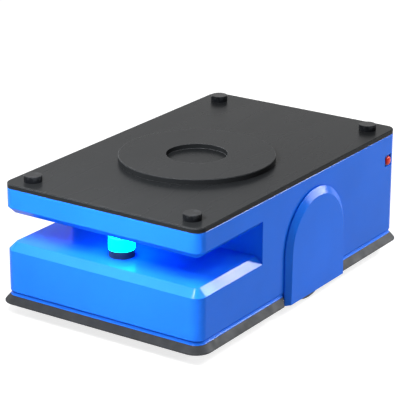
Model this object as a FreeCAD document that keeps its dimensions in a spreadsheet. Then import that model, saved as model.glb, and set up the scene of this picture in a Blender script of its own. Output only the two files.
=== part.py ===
"""Autonomous mobile robot with a lifting turntable, as a parametric assembly.

Millimetres.  +Z is up, the robot's front faces -Y, its width runs along X.  The origin is on the
floor under the middle of the robot.  Every driving dimension is a cell of the sheet "Sizes".
"""
import FreeCAD, Part
import math
import os

import Sketcher

PLACES = [
    # name, value, what it measures
    ("body_length", 1000.0, "painted body, front face to rear face"),
    ("body_width", 621.6, "painted body, side to side"),
    ("corner_radius", 30.0, "upright corners of body and top plate"),
    ("wall", 4.0, "wall of the moulded body shell"),
    ("ground_clearance", 36.0, "floor to underside of the bumper"),
    ("bumper_height", 20.0, "rubber bumper"),
    ("bumper_flare", 15.0, "bumper lip beyond the body"),
    ("bumper_lip", 2.5, "upright edge of the bumper lip"),
    ("trim_height", 8.0, "painted trim above the bumper"),
    ("trim_inset", 2.5, "painted trim inside the body side, above its foot"),
    ("groove_height", 4.0, "shadow groove between trim and shell"),
    ("body_height", 320.5, "bumper underside to shell top"),
    ("plate_thickness", 12.5, "top plate"),
    ("slot_floor_height", 167.0, "bumper underside to floor of the scanner slot"),
    ("slot_height", 83.0, "clear height of the scanner slot"),
    ("slot_depth", 290.0, "scanner slot, front face to back wall"),
    ("nose_chamfer", 20.0, "chamfer round the slot floor"),
    ("deck_bevel", 17.0, "bevel under the overhanging deck"),
    ("bumper_slant", 16.5, "lip of the front bumper ahead of its root, where it ends"),
    ("cover_clearance", 1.5, "trims and bumpers to the wheel cover"),
    ("shell_edge", 2.5, "chamfer round the top of the body shell"),
    ("plate_edge", 2.0, "chamfer round the top plate"),
    ("pad_radius", 24.3, "load pads on the top plate"),
    ("pad_height", 17.0, "load pads on the top plate"),
    ("pad_edge", 1.2, "chamfer round a load pad"),
    ("pad_inset", 58.8, "load pads, from the body side"),
    ("pad_front_setback", 55.0, "front load pads, from the front face"),
    ("pad_rear_setback", 67.0, "rear load pads, from the rear face"),
    ("disc_radius", 213.5, "turntable disc"),
    ("disc_thickness", 16.0, "turntable disc"),
    ("disc_edge", 1.5, "chamfer round the turntable disc"),
    ("recess_radius", 83.6, "centring recess of the disc"),
    ("recess_depth", 13.5, "centring recess of the disc"),
    ("disc_boss_radius", 75.0, "boss under the disc"),
    ("boss_clearance", 3.0, "boss to top plate opening"),
    ("lift_travel", 60.0, "stroke of the lift"),
    ("running_gap", 0.3, "parts that move past each other"),
    ("bore_clearance", 0.05, "shafts and posts in their bores, on the radius"),
    ("wheel_back", 49.0, "drive axle behind the middle"),
    ("bracket_gap", 12.0, "drive wheel to its bearing bracket"),
    ("bracket_thickness", 24.0, "bearing bracket of the drive wheel"),
    ("gearbox_length", 38.0, "gearbox of a drive motor"),
    ("motor_clearance", 6.3, "end of a drive motor to the lift carriage"),
    ("wheel_radius", 130.0, "drive wheel"),
    ("wheel_width", 50.0, "drive wheel"),
    ("wheel_inset", 12.5, "drive wheel's outer face inside the body side"),
    ("tyre_thickness", 20.0, "tread of the drive wheel"),
    ("shaft_radius", 15.0, "drive shaft"),
    ("cover_radius", 152.0, "arch of the wheel cover at its rim"),
    ("cover_face_radius", 132.0, "arch of the wheel cover at its face"),
    ("cover_face_foot", 137.0, "half width of the cover face at its foot"),
    ("cover_arch_height", 132.0, "bumper underside to arch centre"),
    ("cover_drop", 6.2, "wheel cover below the bumper underside"),
    ("cover_gap", 1.5, "shadow gap behind the wheel cover"),
    ("cover_land", 3.0, "upright edge of the cover rim"),
    ("cover_depth", 15.5, "body side to cover face"),
    ("cover_lap", 10.0, "cover rim over the edge of the body opening"),
    ("pan_rise", 6.0, "bumper underside to floor pan underside"),
    ("pan_thickness", 6.0, "floor pan"),
    ("frame_top", 100.0, "floor to top of the edge frames"),
    ("frame_wall", 4.0, "edge frames"),
    ("well_radius", 75.0, "caster well, inside"),
    ("well_wall", 4.0, "caster well, wall and roof"),
    ("well_roof", 108.0, "floor to inside of the caster well roof"),
    ("caster_inset", 95.8, "caster pivots, from the body side"),
    ("caster_setback", 100.0, "caster pivots, from the front and rear faces"),
    ("caster_wheel_radius", 40.0, "caster wheel"),
    ("caster_wheel_width", 28.0, "caster wheel"),
    ("caster_trail", 28.0, "caster axle behind its pivot"),
    ("caster_plate_radius", 38.0, "top plate of a caster"),
    ("caster_plate_height", 8.0, "top plate of a caster with its race"),
    ("caster_crown_height", 15.0, "crown of a caster fork"),
    ("caster_nut_height", 3.5, "nut under a caster's kingpin"),
    ("fork_leg", 5.0, "leg of a caster fork"),
    ("fork_gap", 1.0, "caster wheel to a leg of its fork"),
    ("bolt_head", 4.0, "head of a caster's axle bolt"),
    ("kingpin_radius", 8.0, "caster pivot"),
    ("caster_axle_radius", 5.0, "caster axle"),
    ("scanner_setback", 100.0, "scanner axis, from the front face"),
    ("scanner_radius", 34.5, "scanner housing and window"),
    ("scanner_base_height", 20.0, "scanner housing"),
    ("scanner_step", 0.6, "scanner housing and dark ring inside the window's radius"),
    ("scanner_rim", 2.0, "rim of the scanner housing under the window"),
    ("window_height", 34.0, "scanner window"),
    ("window_wall", 2.5, "scanner window"),
    ("seal_height", 3.0, "dark ring between window and cap"),
    ("cap_height", 14.0, "scanner cap"),
    ("cap_edge", 3.0, "chamfer round the scanner cap"),
    ("head_pivot", 5.0, "pivot of the scanner's spinning head, radius"),
    ("head_seat", 12.0, "bore for the head's pivot, deep"),
    ("head_clearance", 4.0, "scanner's spinning head over its housing"),
    ("button_setback", 47.5, "stop button, from the rear face"),
    ("button_height", 246.0, "bumper underside to stop button"),
    ("button_radius", 13.0, "head of the stop button"),
    ("button_crown", 7.1, "head of the stop button, back to crown"),
    ("button_travel", 4.0, "travel of the stop button"),
    ("pocket_side", 34.0, "square pocket of the stop button"),
    ("pocket_depth", 6.0, "square pocket of the stop button"),
    ("socket_wall", 2.0, "side of the button's socket"),
    ("socket_floor", 16.0, "floor of the button's socket"),
    ("socket_flange", 4.0, "flange of the button's socket, beyond its side"),
    ("button_stem", 7.0, "stem of the stop button, radius"),
    ("post_radius", 10.0, "lift guide posts"),
    ("post_x", 100.0, "lift guide posts, from the lift axis"),
    ("post_y", 80.0, "lift guide posts, from the lift axis"),
    ("screw_radius", 12.0, "lift screw"),
    ("lift_motor_height", 70.0, "lift motor"),
    ("lift_clearance", 6.5, "back wall of the slot, inside, to the lift carriage"),
    ("carriage_margin", 22.0, "lift carriage beyond the centres of its posts"),
    ("turn_motor_radius", 28.0, "turntable motor"),
    ("turn_motor_height", 80.0, "turntable motor"),
    ("motor_margin", 4.0, "lift carriage beyond the turntable motor"),
    ("motor_shaft_radius", 6.0, "shaft of the turntable motor"),
    ("bearing_width", 22.0, "turntable bearing ring"),
    ("carriage_height", 200.0, "floor to underside of the lift carriage"),
    ("carriage_thickness", 14.0, "lift carriage plate"),
    ("tooth_module", 2.25, "turntable gears"),
    ("gear_width", 16.0, "turntable gears"),
    ("bearing_height", 18.0, "turntable bearing ring"),
    ("bearing_bore", 62.0, "turntable bearing ring, inside radius"),
    ("spindle_wall", 10.0, "tube of the turntable spindle"),
    ("spindle_step", 2.0, "tube of the turntable spindle inside its journal"),
    ("battery_width", 250.0, "battery pack"),
    ("battery_height", 175.0, "battery pack"),
    ("battery_front_gap", 98.0, "lift carriage to battery pack"),
    ("battery_rear_gap", 17.0, "battery pack to the rear edge frame"),
    ("controller_width", 240.0, "drive controller"),
    ("controller_length", 200.0, "drive controller"),
    ("controller_height", 70.0, "drive controller without its fins"),
    ("controller_setback", 45.0, "drive controller, from the front face"),
    ("fin_height", 16.0, "cooling fins of the drive controller"),
    ("fin_thickness", 4.0, "cooling fins of the drive controller"),
    ("fin_margin", 10.0, "cooling fins inside the controller's edges"),
]
RING_TEETH = 80
PINION_TEETH = 20
PRESSURE_ANGLE = math.radians(20)
DEDENDUM = 1.25         # depth of a tooth below the pitch circle, in modules
BACKLASH = 0.08         # share of the tooth thickness left out
RIM_HOLES = 6
FIN_COUNT = 13

document = FreeCAD.newDocument("MobileRobot")
sheet = document.addObject("Spreadsheet::Sheet", "Sizes")


class Size:
    """A length with its number and with the sheet formula that gives it."""

    def __init__(self, number, formula):
        self.number = float(number)
        self.formula = formula

    def __add__(self, other):
        other = as_size(other)
        return Size(self.number + other.number, f"({self.formula} + {other.formula})")

    def __sub__(self, other):
        other = as_size(other)
        return Size(self.number - other.number, f"({self.formula} - {other.formula})")

    def __radd__(self, other):
        return as_size(other) + self

    def __rsub__(self, other):
        return as_size(other) - self

    def __mul__(self, factor):
        return Size(self.number * factor, f"({self.formula} * {factor!r})")

    def __rmul__(self, factor):
        return self * factor

    def __truediv__(self, divisor):
        return Size(self.number / divisor, f"({self.formula} / {divisor!r})")

    def __neg__(self):
        return self * -1


def as_size(length):
    """Give a plain number the same form as a size."""
    if isinstance(length, Size):
        return length
    return Size(length, repr(float(length)))


def fill_sheet():
    """Write every driving dimension into the sheet and return them by name."""
    sizes = {}
    for row, (name, length, meaning) in enumerate(PLACES, start=1):
        sheet.set(f"A{row}", meaning)
        sheet.set(f"B{row}", str(length))
        sheet.setAlias(f"B{row}", name)
        sizes[name] = Size(length, f"Sizes.{name}")
    document.recompute()
    return sizes


size = fill_sheet()

# Levels above the floor and places that several pieces share.
skirt_bottom = size["ground_clearance"]
skirt_top = skirt_bottom + size["bumper_height"]
trim_top = skirt_top + size["trim_height"]
shell_bottom = trim_top + size["groove_height"]
shell_top = skirt_bottom + size["body_height"]
plate_top = shell_top + size["plate_thickness"]
slot_floor = skirt_bottom + size["slot_floor_height"]
slot_ceiling = slot_floor + size["slot_height"]
half_length = size["body_length"] / 2
half_width = size["body_width"] / 2
slot_back = size["slot_depth"] - half_length
front_face = -half_length
pan_bottom = skirt_bottom + size["pan_rise"]
pan_top = pan_bottom + size["pan_thickness"]
wheel_x = half_width - size["wheel_inset"] - size["wheel_width"] / 2
shell_opening = size["disc_boss_radius"] + size["boss_clearance"]
button_level = skirt_bottom + size["button_height"]
button_back = half_length - size["button_setback"]
cover_centre = skirt_bottom + size["cover_arch_height"]
cover_bottom = skirt_bottom - size["cover_drop"]
wheel_reach = size["wheel_radius"] + size["bracket_gap"]
caster_x = half_width - size["caster_inset"]
caster_y = half_length - size["caster_setback"]
ring_pitch = size["tooth_module"] * (RING_TEETH / 2)
pinion_pitch = size["tooth_module"] * (PINION_TEETH / 2)
pinion_y = -ring_pitch - pinion_pitch
carriage_front = pinion_y - size["turn_motor_radius"] - size["motor_margin"]
lift_y = slot_back + size["wall"] + size["lift_clearance"] - carriage_front
carriage_side = size["post_x"] + size["carriage_margin"]
carriage_rear = size["post_y"] + size["carriage_margin"]

parts = []


# ---------------------------------------------------------------- small tools

def bind(target, path, length):
    """Tie one property of an object to the sheet."""
    target.setExpression(path, as_size(length).formula)


def place(target, x=0.0, y=0.0, z=0.0, turn=None):
    """Place an object; turn is (axis, degrees)."""
    if turn is not None:
        target.Placement.Rotation = FreeCAD.Rotation(turn[0], turn[1])
    bind(target, "Placement.Base.x", x)
    bind(target, "Placement.Base.y", y)
    bind(target, "Placement.Base.z", z)


def turned(x_sign):
    """Half a turn about the upright axis for the left-hand side."""
    return (FreeCAD.Vector(0, 0, 1), 0 if x_sign > 0 else 180)


def finish(target, label):
    """Name a finished sub-part and keep it for the export."""
    target.Label = label
    parts.append(target)
    return target


def new_body(name):
    """Start a PartDesign body."""
    return document.addObject("PartDesign::Body", name)


def new_sketch(body, name, plane, offset=0.0):
    """Attach an empty sketch to one of the body's origin planes."""
    sketch = body.newObject("Sketcher::SketchObject", name)
    support = [feature for feature in body.Origin.OriginFeatures if feature.Role == plane][0]
    sketch.AttachmentSupport = [(support, "")]
    sketch.MapMode = "FlatFace"
    bind(sketch, "AttachmentOffset.Base.z", offset)
    return sketch


def pin_down(sketch, geometry, point, x, y):
    """Fix one sketch point at (x, y) with dimensions from the sketch origin."""
    for kind, axis, length in (("DistanceX", -2, as_size(x)), ("DistanceY", -1, as_size(y))):
        if abs(length.number) < 1e-9:
            sketch.addConstraint(Sketcher.Constraint("PointOnObject", geometry, point, axis))
            continue
        if length.number > 0:
            dimension = Sketcher.Constraint(kind, -1, 1, geometry, point, length.number)
        else:
            length = -length
            dimension = Sketcher.Constraint(kind, geometry, point, -1, 1, length.number)
        index = sketch.addConstraint(dimension)
        bind(sketch, f"Constraints[{index}]", length)


def vector(x, y):
    """A sketch vector from two sizes."""
    return FreeCAD.Vector(as_size(x).number, as_size(y).number, 0)


def draw_polygon(sketch, points):
    """Draw a closed outline of straight lines through the given points."""
    first = sketch.GeometryCount
    count = len(points)
    for index, (x, y) in enumerate(points):
        next_x, next_y = points[(index + 1) % count]
        sketch.addGeometry(Part.LineSegment(vector(x, y), vector(next_x, next_y)), False)
    for index, (x, y) in enumerate(points):
        following = first + (index + 1) % count
        sketch.addConstraint(Sketcher.Constraint("Coincident", first + index, 2, following, 1))
        pin_down(sketch, first + index, 1, x, y)


def draw_rectangle(sketch, x_low, x_high, y_low, y_high):
    """Draw a rectangle between four sizes."""
    draw_polygon(sketch, [(x_low, y_low), (x_high, y_low), (x_high, y_high), (x_low, y_high)])


def draw_circle(sketch, x, y, radius):
    """Draw a circle with its centre and radius tied to sizes."""
    radius = as_size(radius)
    index = sketch.addGeometry(Part.Circle(vector(x, y), FreeCAD.Vector(0, 0, 1), radius.number), False)
    pin_down(sketch, index, 3, x, y)
    dimension = sketch.addConstraint(Sketcher.Constraint("Radius", index, radius.number))
    bind(sketch, f"Constraints[{dimension}]", radius)


def draw_rounded_rectangle(sketch, half_x, half_y, radius):
    """Draw a rectangle about the origin whose corners are arcs tangent to its sides."""
    half_x, half_y, radius = as_size(half_x), as_size(half_y), as_size(radius)
    corners = [(1, 1, 0), (-1, 1, 90), (-1, -1, 180), (1, -1, 270)]
    first = sketch.GeometryCount
    for x_sign, y_sign, start in corners:
        centre = vector((half_x - radius) * x_sign, (half_y - radius) * y_sign)
        circle = Part.Circle(centre, FreeCAD.Vector(0, 0, 1), radius.number)
        low, high = math.radians(start), math.radians(start + 90)
        sketch.addGeometry(Part.ArcOfCircle(circle, low, high), False)
    for corner in range(4):
        following = (corner + 1) % 4
        line = Part.LineSegment(sketch.getPoint(first + corner, 2), sketch.getPoint(first + following, 1))
        sketch.addGeometry(line, False)
    for corner in range(4):
        following = (corner + 1) % 4
        line = first + 4 + corner
        sketch.addConstraint(Sketcher.Constraint("Tangent", first + corner, 2, line, 1))
        sketch.addConstraint(Sketcher.Constraint("Tangent", line, 2, first + following, 1))
    for corner, (x_sign, y_sign, start) in enumerate(corners):
        pin_down(sketch, first + corner, 3, (half_x - radius) * x_sign, (half_y - radius) * y_sign)
    dimension = sketch.addConstraint(Sketcher.Constraint("Radius", first, radius.number))
    bind(sketch, f"Constraints[{dimension}]", radius)


def draw_arch(sketch, radius, foot, centre_level, bottom):
    """Draw a flat-footed arch about the sketch's upright axis."""
    radius, foot = as_size(radius), as_size(foot)
    centre_level, bottom = as_size(centre_level), as_size(bottom)
    circle = Part.Circle(vector(0, centre_level), FreeCAD.Vector(0, 0, 1), radius.number)
    arc = sketch.addGeometry(Part.ArcOfCircle(circle, 0, math.pi), False)
    corners = [(-radius, centre_level), (-foot, bottom), (foot, bottom), (radius, centre_level)]
    for start, end in zip(corners, corners[1:]):
        sketch.addGeometry(Part.LineSegment(vector(*start), vector(*end)), False)
    for index, (x, y) in enumerate(corners[:3]):
        pin_down(sketch, arc + 1 + index, 1, x, y)
    pin_down(sketch, arc + 3, 2, *corners[3])
    sketch.addConstraint(Sketcher.Constraint("Coincident", arc, 2, arc + 1, 1))
    sketch.addConstraint(Sketcher.Constraint("Coincident", arc + 1, 2, arc + 2, 1))
    sketch.addConstraint(Sketcher.Constraint("Coincident", arc + 2, 2, arc + 3, 1))
    sketch.addConstraint(Sketcher.Constraint("Coincident", arc + 3, 2, arc, 1))
    level = sketch.addConstraint(Sketcher.Constraint("DistanceY", -1, 1, arc, 3, centre_level.number))
    bind(sketch, f"Constraints[{level}]", centre_level)


def pad(body, sketch, length, reverse=False):
    """Extrude a sketch of the body."""
    feature = body.newObject("PartDesign::Pad", sketch.Name + "Pad")
    feature.Profile = sketch
    feature.Reversed = reverse
    bind(feature, "Length", length)
    return feature


def pocket(body, sketch, length, reverse=False):
    """Cut a sketch out of the body, and make sure that it removes material."""
    document.recompute()
    before = body.Shape.Volume
    feature = body.newObject("PartDesign::Pocket", sketch.Name + "Pocket")
    feature.Profile = sketch
    feature.Reversed = reverse
    bind(feature, "Length", length)
    document.recompute()
    if body.Shape.Volume > before - 1e-3:
        raise RuntimeError(f"{feature.Name} removes nothing")
    return feature


def revolve(body, sketch, axis):
    """Turn a sketch of the body once round one of its own axes."""
    feature = body.newObject("PartDesign::Revolution", sketch.Name + "Revolution")
    feature.Profile = sketch
    feature.ReferenceAxis = (sketch, [axis])
    feature.Angle = 360
    return feature


def turned_part(name, points, upright=True):
    """Make a turned piece from its half section, as (radius, level) points."""
    body = new_body(name)
    sketch = new_sketch(body, name + "Section", "XZ_Plane")
    if upright:
        draw_polygon(sketch, points)
    else:
        draw_polygon(sketch, [(level, radius) for radius, level in points])
    revolve(body, sketch, "V_Axis" if upright else "H_Axis")
    document.recompute()
    return body


def pattern_round(body, feature, count, axis="Z_Axis"):
    """Repeat a feature evenly round one of the body's axes."""
    pattern = body.newObject("PartDesign::PolarPattern", feature.Name + "Pattern")
    pattern.Originals = [feature]
    support = [origin for origin in body.Origin.OriginFeatures if origin.Role == axis][0]
    pattern.Axis = (support, [""])
    pattern.Angle = 360
    pattern.Occurrences = count
    body.Tip = pattern
    document.recompute()
    return pattern


def edges_where(shape, wanted):
    """Name the edges of a shape that a test picks by their bounding box."""
    return [f"Edge{index}" for index, edge in enumerate(shape.Edges, start=1) if wanted(edge)]


def flat_at(edge, level):
    """Tell whether an edge lies flat at one level."""
    box = edge.BoundBox
    return abs(box.ZMin - level) < 1e-4 and abs(box.ZMax - level) < 1e-4


def dress(body, kind, picked, length):
    """Chamfer or fillet the picked edges of the body's last feature."""
    document.recompute()
    base = body.Tip
    names = edges_where(base.Shape, picked)
    if not names:
        raise RuntimeError(f"no edge to {kind} on {body.Name}")
    feature = body.newObject("PartDesign::" + kind, f"{base.Name}{kind}")
    feature.Base = (base, names)
    bind(feature, "Size" if kind == "Chamfer" else "Radius", length)
    document.recompute()
    return feature


def cylinder(name, radius, height, x=0.0, y=0.0, z=0.0, along_x=False):
    """Make a plain cylinder; it stands up, or runs along +X."""
    target = document.addObject("Part::Cylinder", name)
    bind(target, "Radius", radius)
    bind(target, "Height", height)
    place(target, x, y, z, (FreeCAD.Vector(0, 1, 0), 90) if along_x else None)
    return target


def block(name, x_span, y_span, z_span):
    """Make a plain box between two sizes each way."""
    target = document.addObject("Part::Box", name)
    for side, (low, high) in zip(("Length", "Width", "Height"), (x_span, y_span, z_span)):
        bind(target, side, as_size(high) - low)
    place(target, x_span[0], y_span[0], z_span[0])
    return target


def cut(name, base, tools):
    """Cut one or more solids out of another."""
    if len(tools) == 1:
        tool = tools[0]
    else:
        tool = document.addObject("Part::MultiFuse", name + "Tools")
        tool.Shapes = tools
    result = document.addObject("Part::Cut", name)
    result.Base = base
    result.Tool = tool
    document.recompute()
    return result


# ---------------------------------------------------------------- body shell

def slotted_block(name, inset, bottom, top):
    """Make the body's solid form with its scanner slot, drawn in by an inset all over."""
    body = new_body(name)
    outline = new_sketch(body, name + "Outline", "XY_Plane", bottom)
    draw_rounded_rectangle(outline, half_width - inset, half_length - inset, size["corner_radius"] - inset)
    pad(body, outline, top - bottom)
    floor, ceiling, back = slot_floor - inset, slot_ceiling + inset, slot_back + inset
    slot = new_sketch(body, name + "Slot", "YZ_Plane", -half_width * 1.1)
    draw_rectangle(slot, -half_length * 1.1, back, floor, ceiling)
    pocket(body, slot, size["body_width"] * 1.1, reverse=True)

    def on_rim(edge, level):
        return flat_at(edge, level.number) and edge.BoundBox.YMin < back.number - 1

    shrink = inset * (2 - math.sqrt(2))
    dress(body, "Chamfer", lambda edge: on_rim(edge, floor), size["nose_chamfer"] - shrink)
    dress(body, "Chamfer", lambda edge: on_rim(edge, ceiling), size["deck_bevel"] - shrink)
    return body


def make_body_shell():
    """Hollow the slotted form out and open it for wheels, turntable and button."""
    outside = slotted_block("ShellOutside", as_size(0.0), shell_bottom, shell_top)
    inside = slotted_block("ShellInside", size["wall"], shell_bottom - size["wall"], shell_top - size["wall"])
    top = shell_top.number
    dress(outside, "Chamfer", lambda edge: flat_at(edge, top), size["shell_edge"])
    opening = cylinder("TurntableOpening", shell_opening, size["wall"] * 2, y=lift_y,
                       z=shell_top - size["wall"] * 1.5)
    arch = new_body("WheelOpening")
    outline = new_sketch(arch, "WheelOpeningOutline", "YZ_Plane", -half_width * 1.1)
    radius = size["cover_radius"] - size["cover_lap"]
    draw_arch(outline, radius, radius, cover_centre, skirt_bottom)
    pad(arch, outline, size["body_width"] * 1.1)
    place(arch, y=size["wheel_back"])
    half_hole = size["pocket_side"] / 2 + size["socket_wall"]
    window = block("ButtonOpening",
                   (half_width - size["wall"] * 1.5, half_width + size["wall"]),
                   (button_back - half_hole, button_back + half_hole),
                   (button_level - half_hole, button_level + half_hole))
    finish(cut("BodyShell", outside, [inside, opening, arch, window]), "body_shell")


def u_shaped_strip(name, section, side, end):
    """Sweep a section round one end of the body; side is -1 for the front and 1 for the rear.

    The section's points are (beyond the body side, level); end is where both legs stop.
    """
    body = new_body(name)
    radius = size["corner_radius"]
    path = new_sketch(body, name + "Path", "XY_Plane")
    far = half_length * side
    bend = (half_length - radius) * side
    across = half_width - radius
    legs = [((half_width, end), (half_width, bend)), ((across, far), (-across, far)),
            ((-half_width, bend), (-half_width, end))]
    for start, stop in legs:
        path.addGeometry(Part.LineSegment(vector(*start), vector(*stop)), False)
    quarter = math.pi / 2
    for x_sign in (1, -1):
        circle = Part.Circle(vector(across * x_sign, bend), FreeCAD.Vector(0, 0, 1), radius.number)
        low = (0 if x_sign * side > 0 else 3) if x_sign > 0 else (1 if side > 0 else 2)
        path.addGeometry(Part.ArcOfCircle(circle, low * quarter, (low + 1) * quarter), False)
    first_ends = (1, 2) if side > 0 else (2, 1)
    path.addConstraint(Sketcher.Constraint("Tangent", 0, 2, 3, first_ends[0]))
    path.addConstraint(Sketcher.Constraint("Tangent", 3, first_ends[1], 1, 1))
    path.addConstraint(Sketcher.Constraint("Tangent", 1, 2, 4, first_ends[0]))
    path.addConstraint(Sketcher.Constraint("Tangent", 4, first_ends[1], 2, 1))
    pin_down(path, 0, 1, half_width, end)
    pin_down(path, 2, 2, -half_width, end)
    pin_down(path, 3, 3, across, bend)
    pin_down(path, 4, 3, -across, bend)
    profile = new_sketch(body, name + "Section", "XZ_Plane", -as_size(end))
    draw_polygon(profile, [(half_width + beyond, level) for beyond, level in section])
    sweep = body.newObject("PartDesign::AdditivePipe", name + "Sweep")
    sweep.Profile = profile
    sweep.Spine = (path, [])
    sweep.Mode = "Standard"
    document.recompute()
    return body


def arched_form(name, inset, back, front, foot):
    """Make the wheel cover's solid form, drawn in by an inset all over.

    It is a rim from back to the end of the cover's land, then a bevel out to a flat face at front.
    """
    body = new_body(name)
    rim_radius, land = size["cover_radius"] - inset, size["cover_gap"] + size["cover_land"]
    rim = new_sketch(body, name + "Rim", "YZ_Plane", back)
    draw_arch(rim, rim_radius, rim_radius, cover_centre, foot)
    pad(body, rim, land - back)
    loft_back = new_sketch(body, name + "BevelBack", "YZ_Plane", land)
    draw_arch(loft_back, rim_radius, rim_radius, cover_centre, foot)
    face = new_sketch(body, name + "Face", "YZ_Plane", front)
    draw_arch(face, size["cover_face_radius"] - inset, size["cover_face_foot"] - inset, cover_centre, foot)
    bevel = body.newObject("PartDesign::AdditiveLoft", name + "Bevel")
    bevel.Profile = loft_back
    bevel.Sections = [face]
    bevel.Ruled = True
    document.recompute()
    return body


def make_lower_edge():
    """Rubber bumpers, painted trims and the steel frames that carry them, front and rear."""
    wall, flare, inset = size["wall"], size["bumper_flare"], size["trim_inset"]
    clearance, wheel_y = size["cover_clearance"], size["wheel_back"]
    bumper = [(-wall, skirt_bottom), (flare, skirt_bottom), (flare, skirt_bottom + size["bumper_lip"]),
              (0.0, skirt_top), (-wall, skirt_top)]
    trim = [(-wall, skirt_top), (0.0, skirt_top), (-inset, skirt_top + inset), (-inset, trim_top),
            (-wall, trim_top)]
    frame_inside = -wall - size["frame_wall"]
    frame = [(frame_inside, pan_bottom), (-wall, pan_bottom), (-wall, size["frame_top"]),
             (frame_inside, size["frame_top"])]
    front_end = wheel_y - size["cover_radius"] - clearance
    rear_end = wheel_y + size["cover_radius"] + clearance
    finish(u_shaped_strip("FrontTrim", trim, -1, front_end), "front_trim")
    finish(u_shaped_strip("RearTrim", trim, 1, rear_end), "rear_trim")
    finish(u_shaped_strip("FrontFrame", frame, -1, wheel_y - wheel_reach), "front_frame")
    finish(u_shaped_strip("RearFrame", frame, 1, wheel_y + wheel_reach), "rear_frame")

    front_bumper = u_shaped_strip("FrontBumper", bumper, -1, front_end)
    ends = new_sketch(front_bumper, "FrontBumperEnds", "XY_Plane", skirt_top)
    for side in (-1, 1):
        beyond = (half_width + flare * 2) * side
        draw_polygon(ends, [(half_width * side, front_end), (beyond, front_end),
                            (beyond, front_end - size["bumper_slant"] * 2)])
    pocket(front_bumper, ends, size["bumper_height"])
    finish(front_bumper, "front_bumper")

    strip = u_shaped_strip("RearBumperStrip", bumper, 1, wheel_y + size["cover_face_foot"] + clearance)
    depth, notches = size["cover_depth"], []
    for side_name, x_sign in (("Left", -1), ("Right", 1)):
        notch = arched_form("BumperNotch" + side_name, -clearance, -wall * 2, depth, cover_bottom)
        outward = new_sketch(notch, f"BumperNotch{side_name}Outward", "YZ_Plane", depth)
        draw_arch(outward, size["cover_face_radius"] + clearance, size["cover_face_foot"] + clearance,
                  cover_centre, cover_bottom)
        pad(notch, outward, flare)
        place(notch, half_width * x_sign, wheel_y, 0.0, turned(x_sign))
        notches.append(notch)
    rear_bumper = cut("RearBumper", strip, notches)
    if rear_bumper.Shape.Volume > strip.Shape.Volume - 1:
        raise RuntimeError("the wheel covers leave no notch in the rear bumper")
    finish(rear_bumper, "rear_bumper")


def make_top_plate():
    """The flat lid with rounded corners, a fine edge and the turntable opening."""
    body = new_body("TopPlate")
    outline = new_sketch(body, "TopPlateOutline", "XY_Plane", shell_top)
    draw_rounded_rectangle(outline, half_width, half_length, size["corner_radius"])
    pad(body, outline, size["plate_thickness"])
    dress(body, "Chamfer", lambda edge: flat_at(edge, plate_top.number), size["plate_edge"])
    hole = new_sketch(body, "TopPlateOpening", "XY_Plane", plate_top)
    draw_circle(hole, 0, lift_y, shell_opening)
    pocket(body, hole, size["plate_thickness"])
    finish(body, "top_plate")


def make_load_pads():
    """Four round pads that a load rests on."""
    radius, edge, top = size["pad_radius"], size["pad_edge"], size["pad_height"]
    section = [(0.0, 0.0), (radius, 0.0), (radius, top - edge), (radius - edge, top), (0.0, top)]
    front, rear = front_face + size["pad_front_setback"], half_length - size["pad_rear_setback"]
    corners = [("front_left", -1, front), ("front_right", 1, front), ("rear_left", -1, rear),
               ("rear_right", 1, rear)]
    for corner, x_sign, y in corners:
        body = turned_part("LoadPad_" + corner, section)
        place(body, (half_width - size["pad_inset"]) * x_sign, y, plate_top)
        finish(body, "load_pad_" + corner)


# ---------------------------------------------------------------- wheel covers and drive

def make_wheel_cover(side_name, x_sign):
    """Arched cover: a spigot on the body side, a rim, and a bevel up to a flat face."""
    name = "WheelCover" + side_name.title()
    wall, depth = size["wall"], size["cover_depth"]
    outside = arched_form(name + "Outside", as_size(0.0), size["cover_gap"], depth, cover_bottom)
    spigot = new_sketch(outside, name + "Spigot", "YZ_Plane", 0.0)
    draw_arch(spigot, size["cover_radius"] - wall, size["cover_radius"] - wall, cover_centre, cover_bottom)
    pad(outside, spigot, size["cover_gap"])
    document.recompute()
    inside = arched_form(name + "Inside", wall * 2, -wall, depth - wall, cover_bottom - wall)
    cover = cut(name, outside, [inside])
    place(cover, half_width * x_sign, size["wheel_back"], 0.0, turned(x_sign))
    finish(cover, "wheel_cover_" + side_name)


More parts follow.
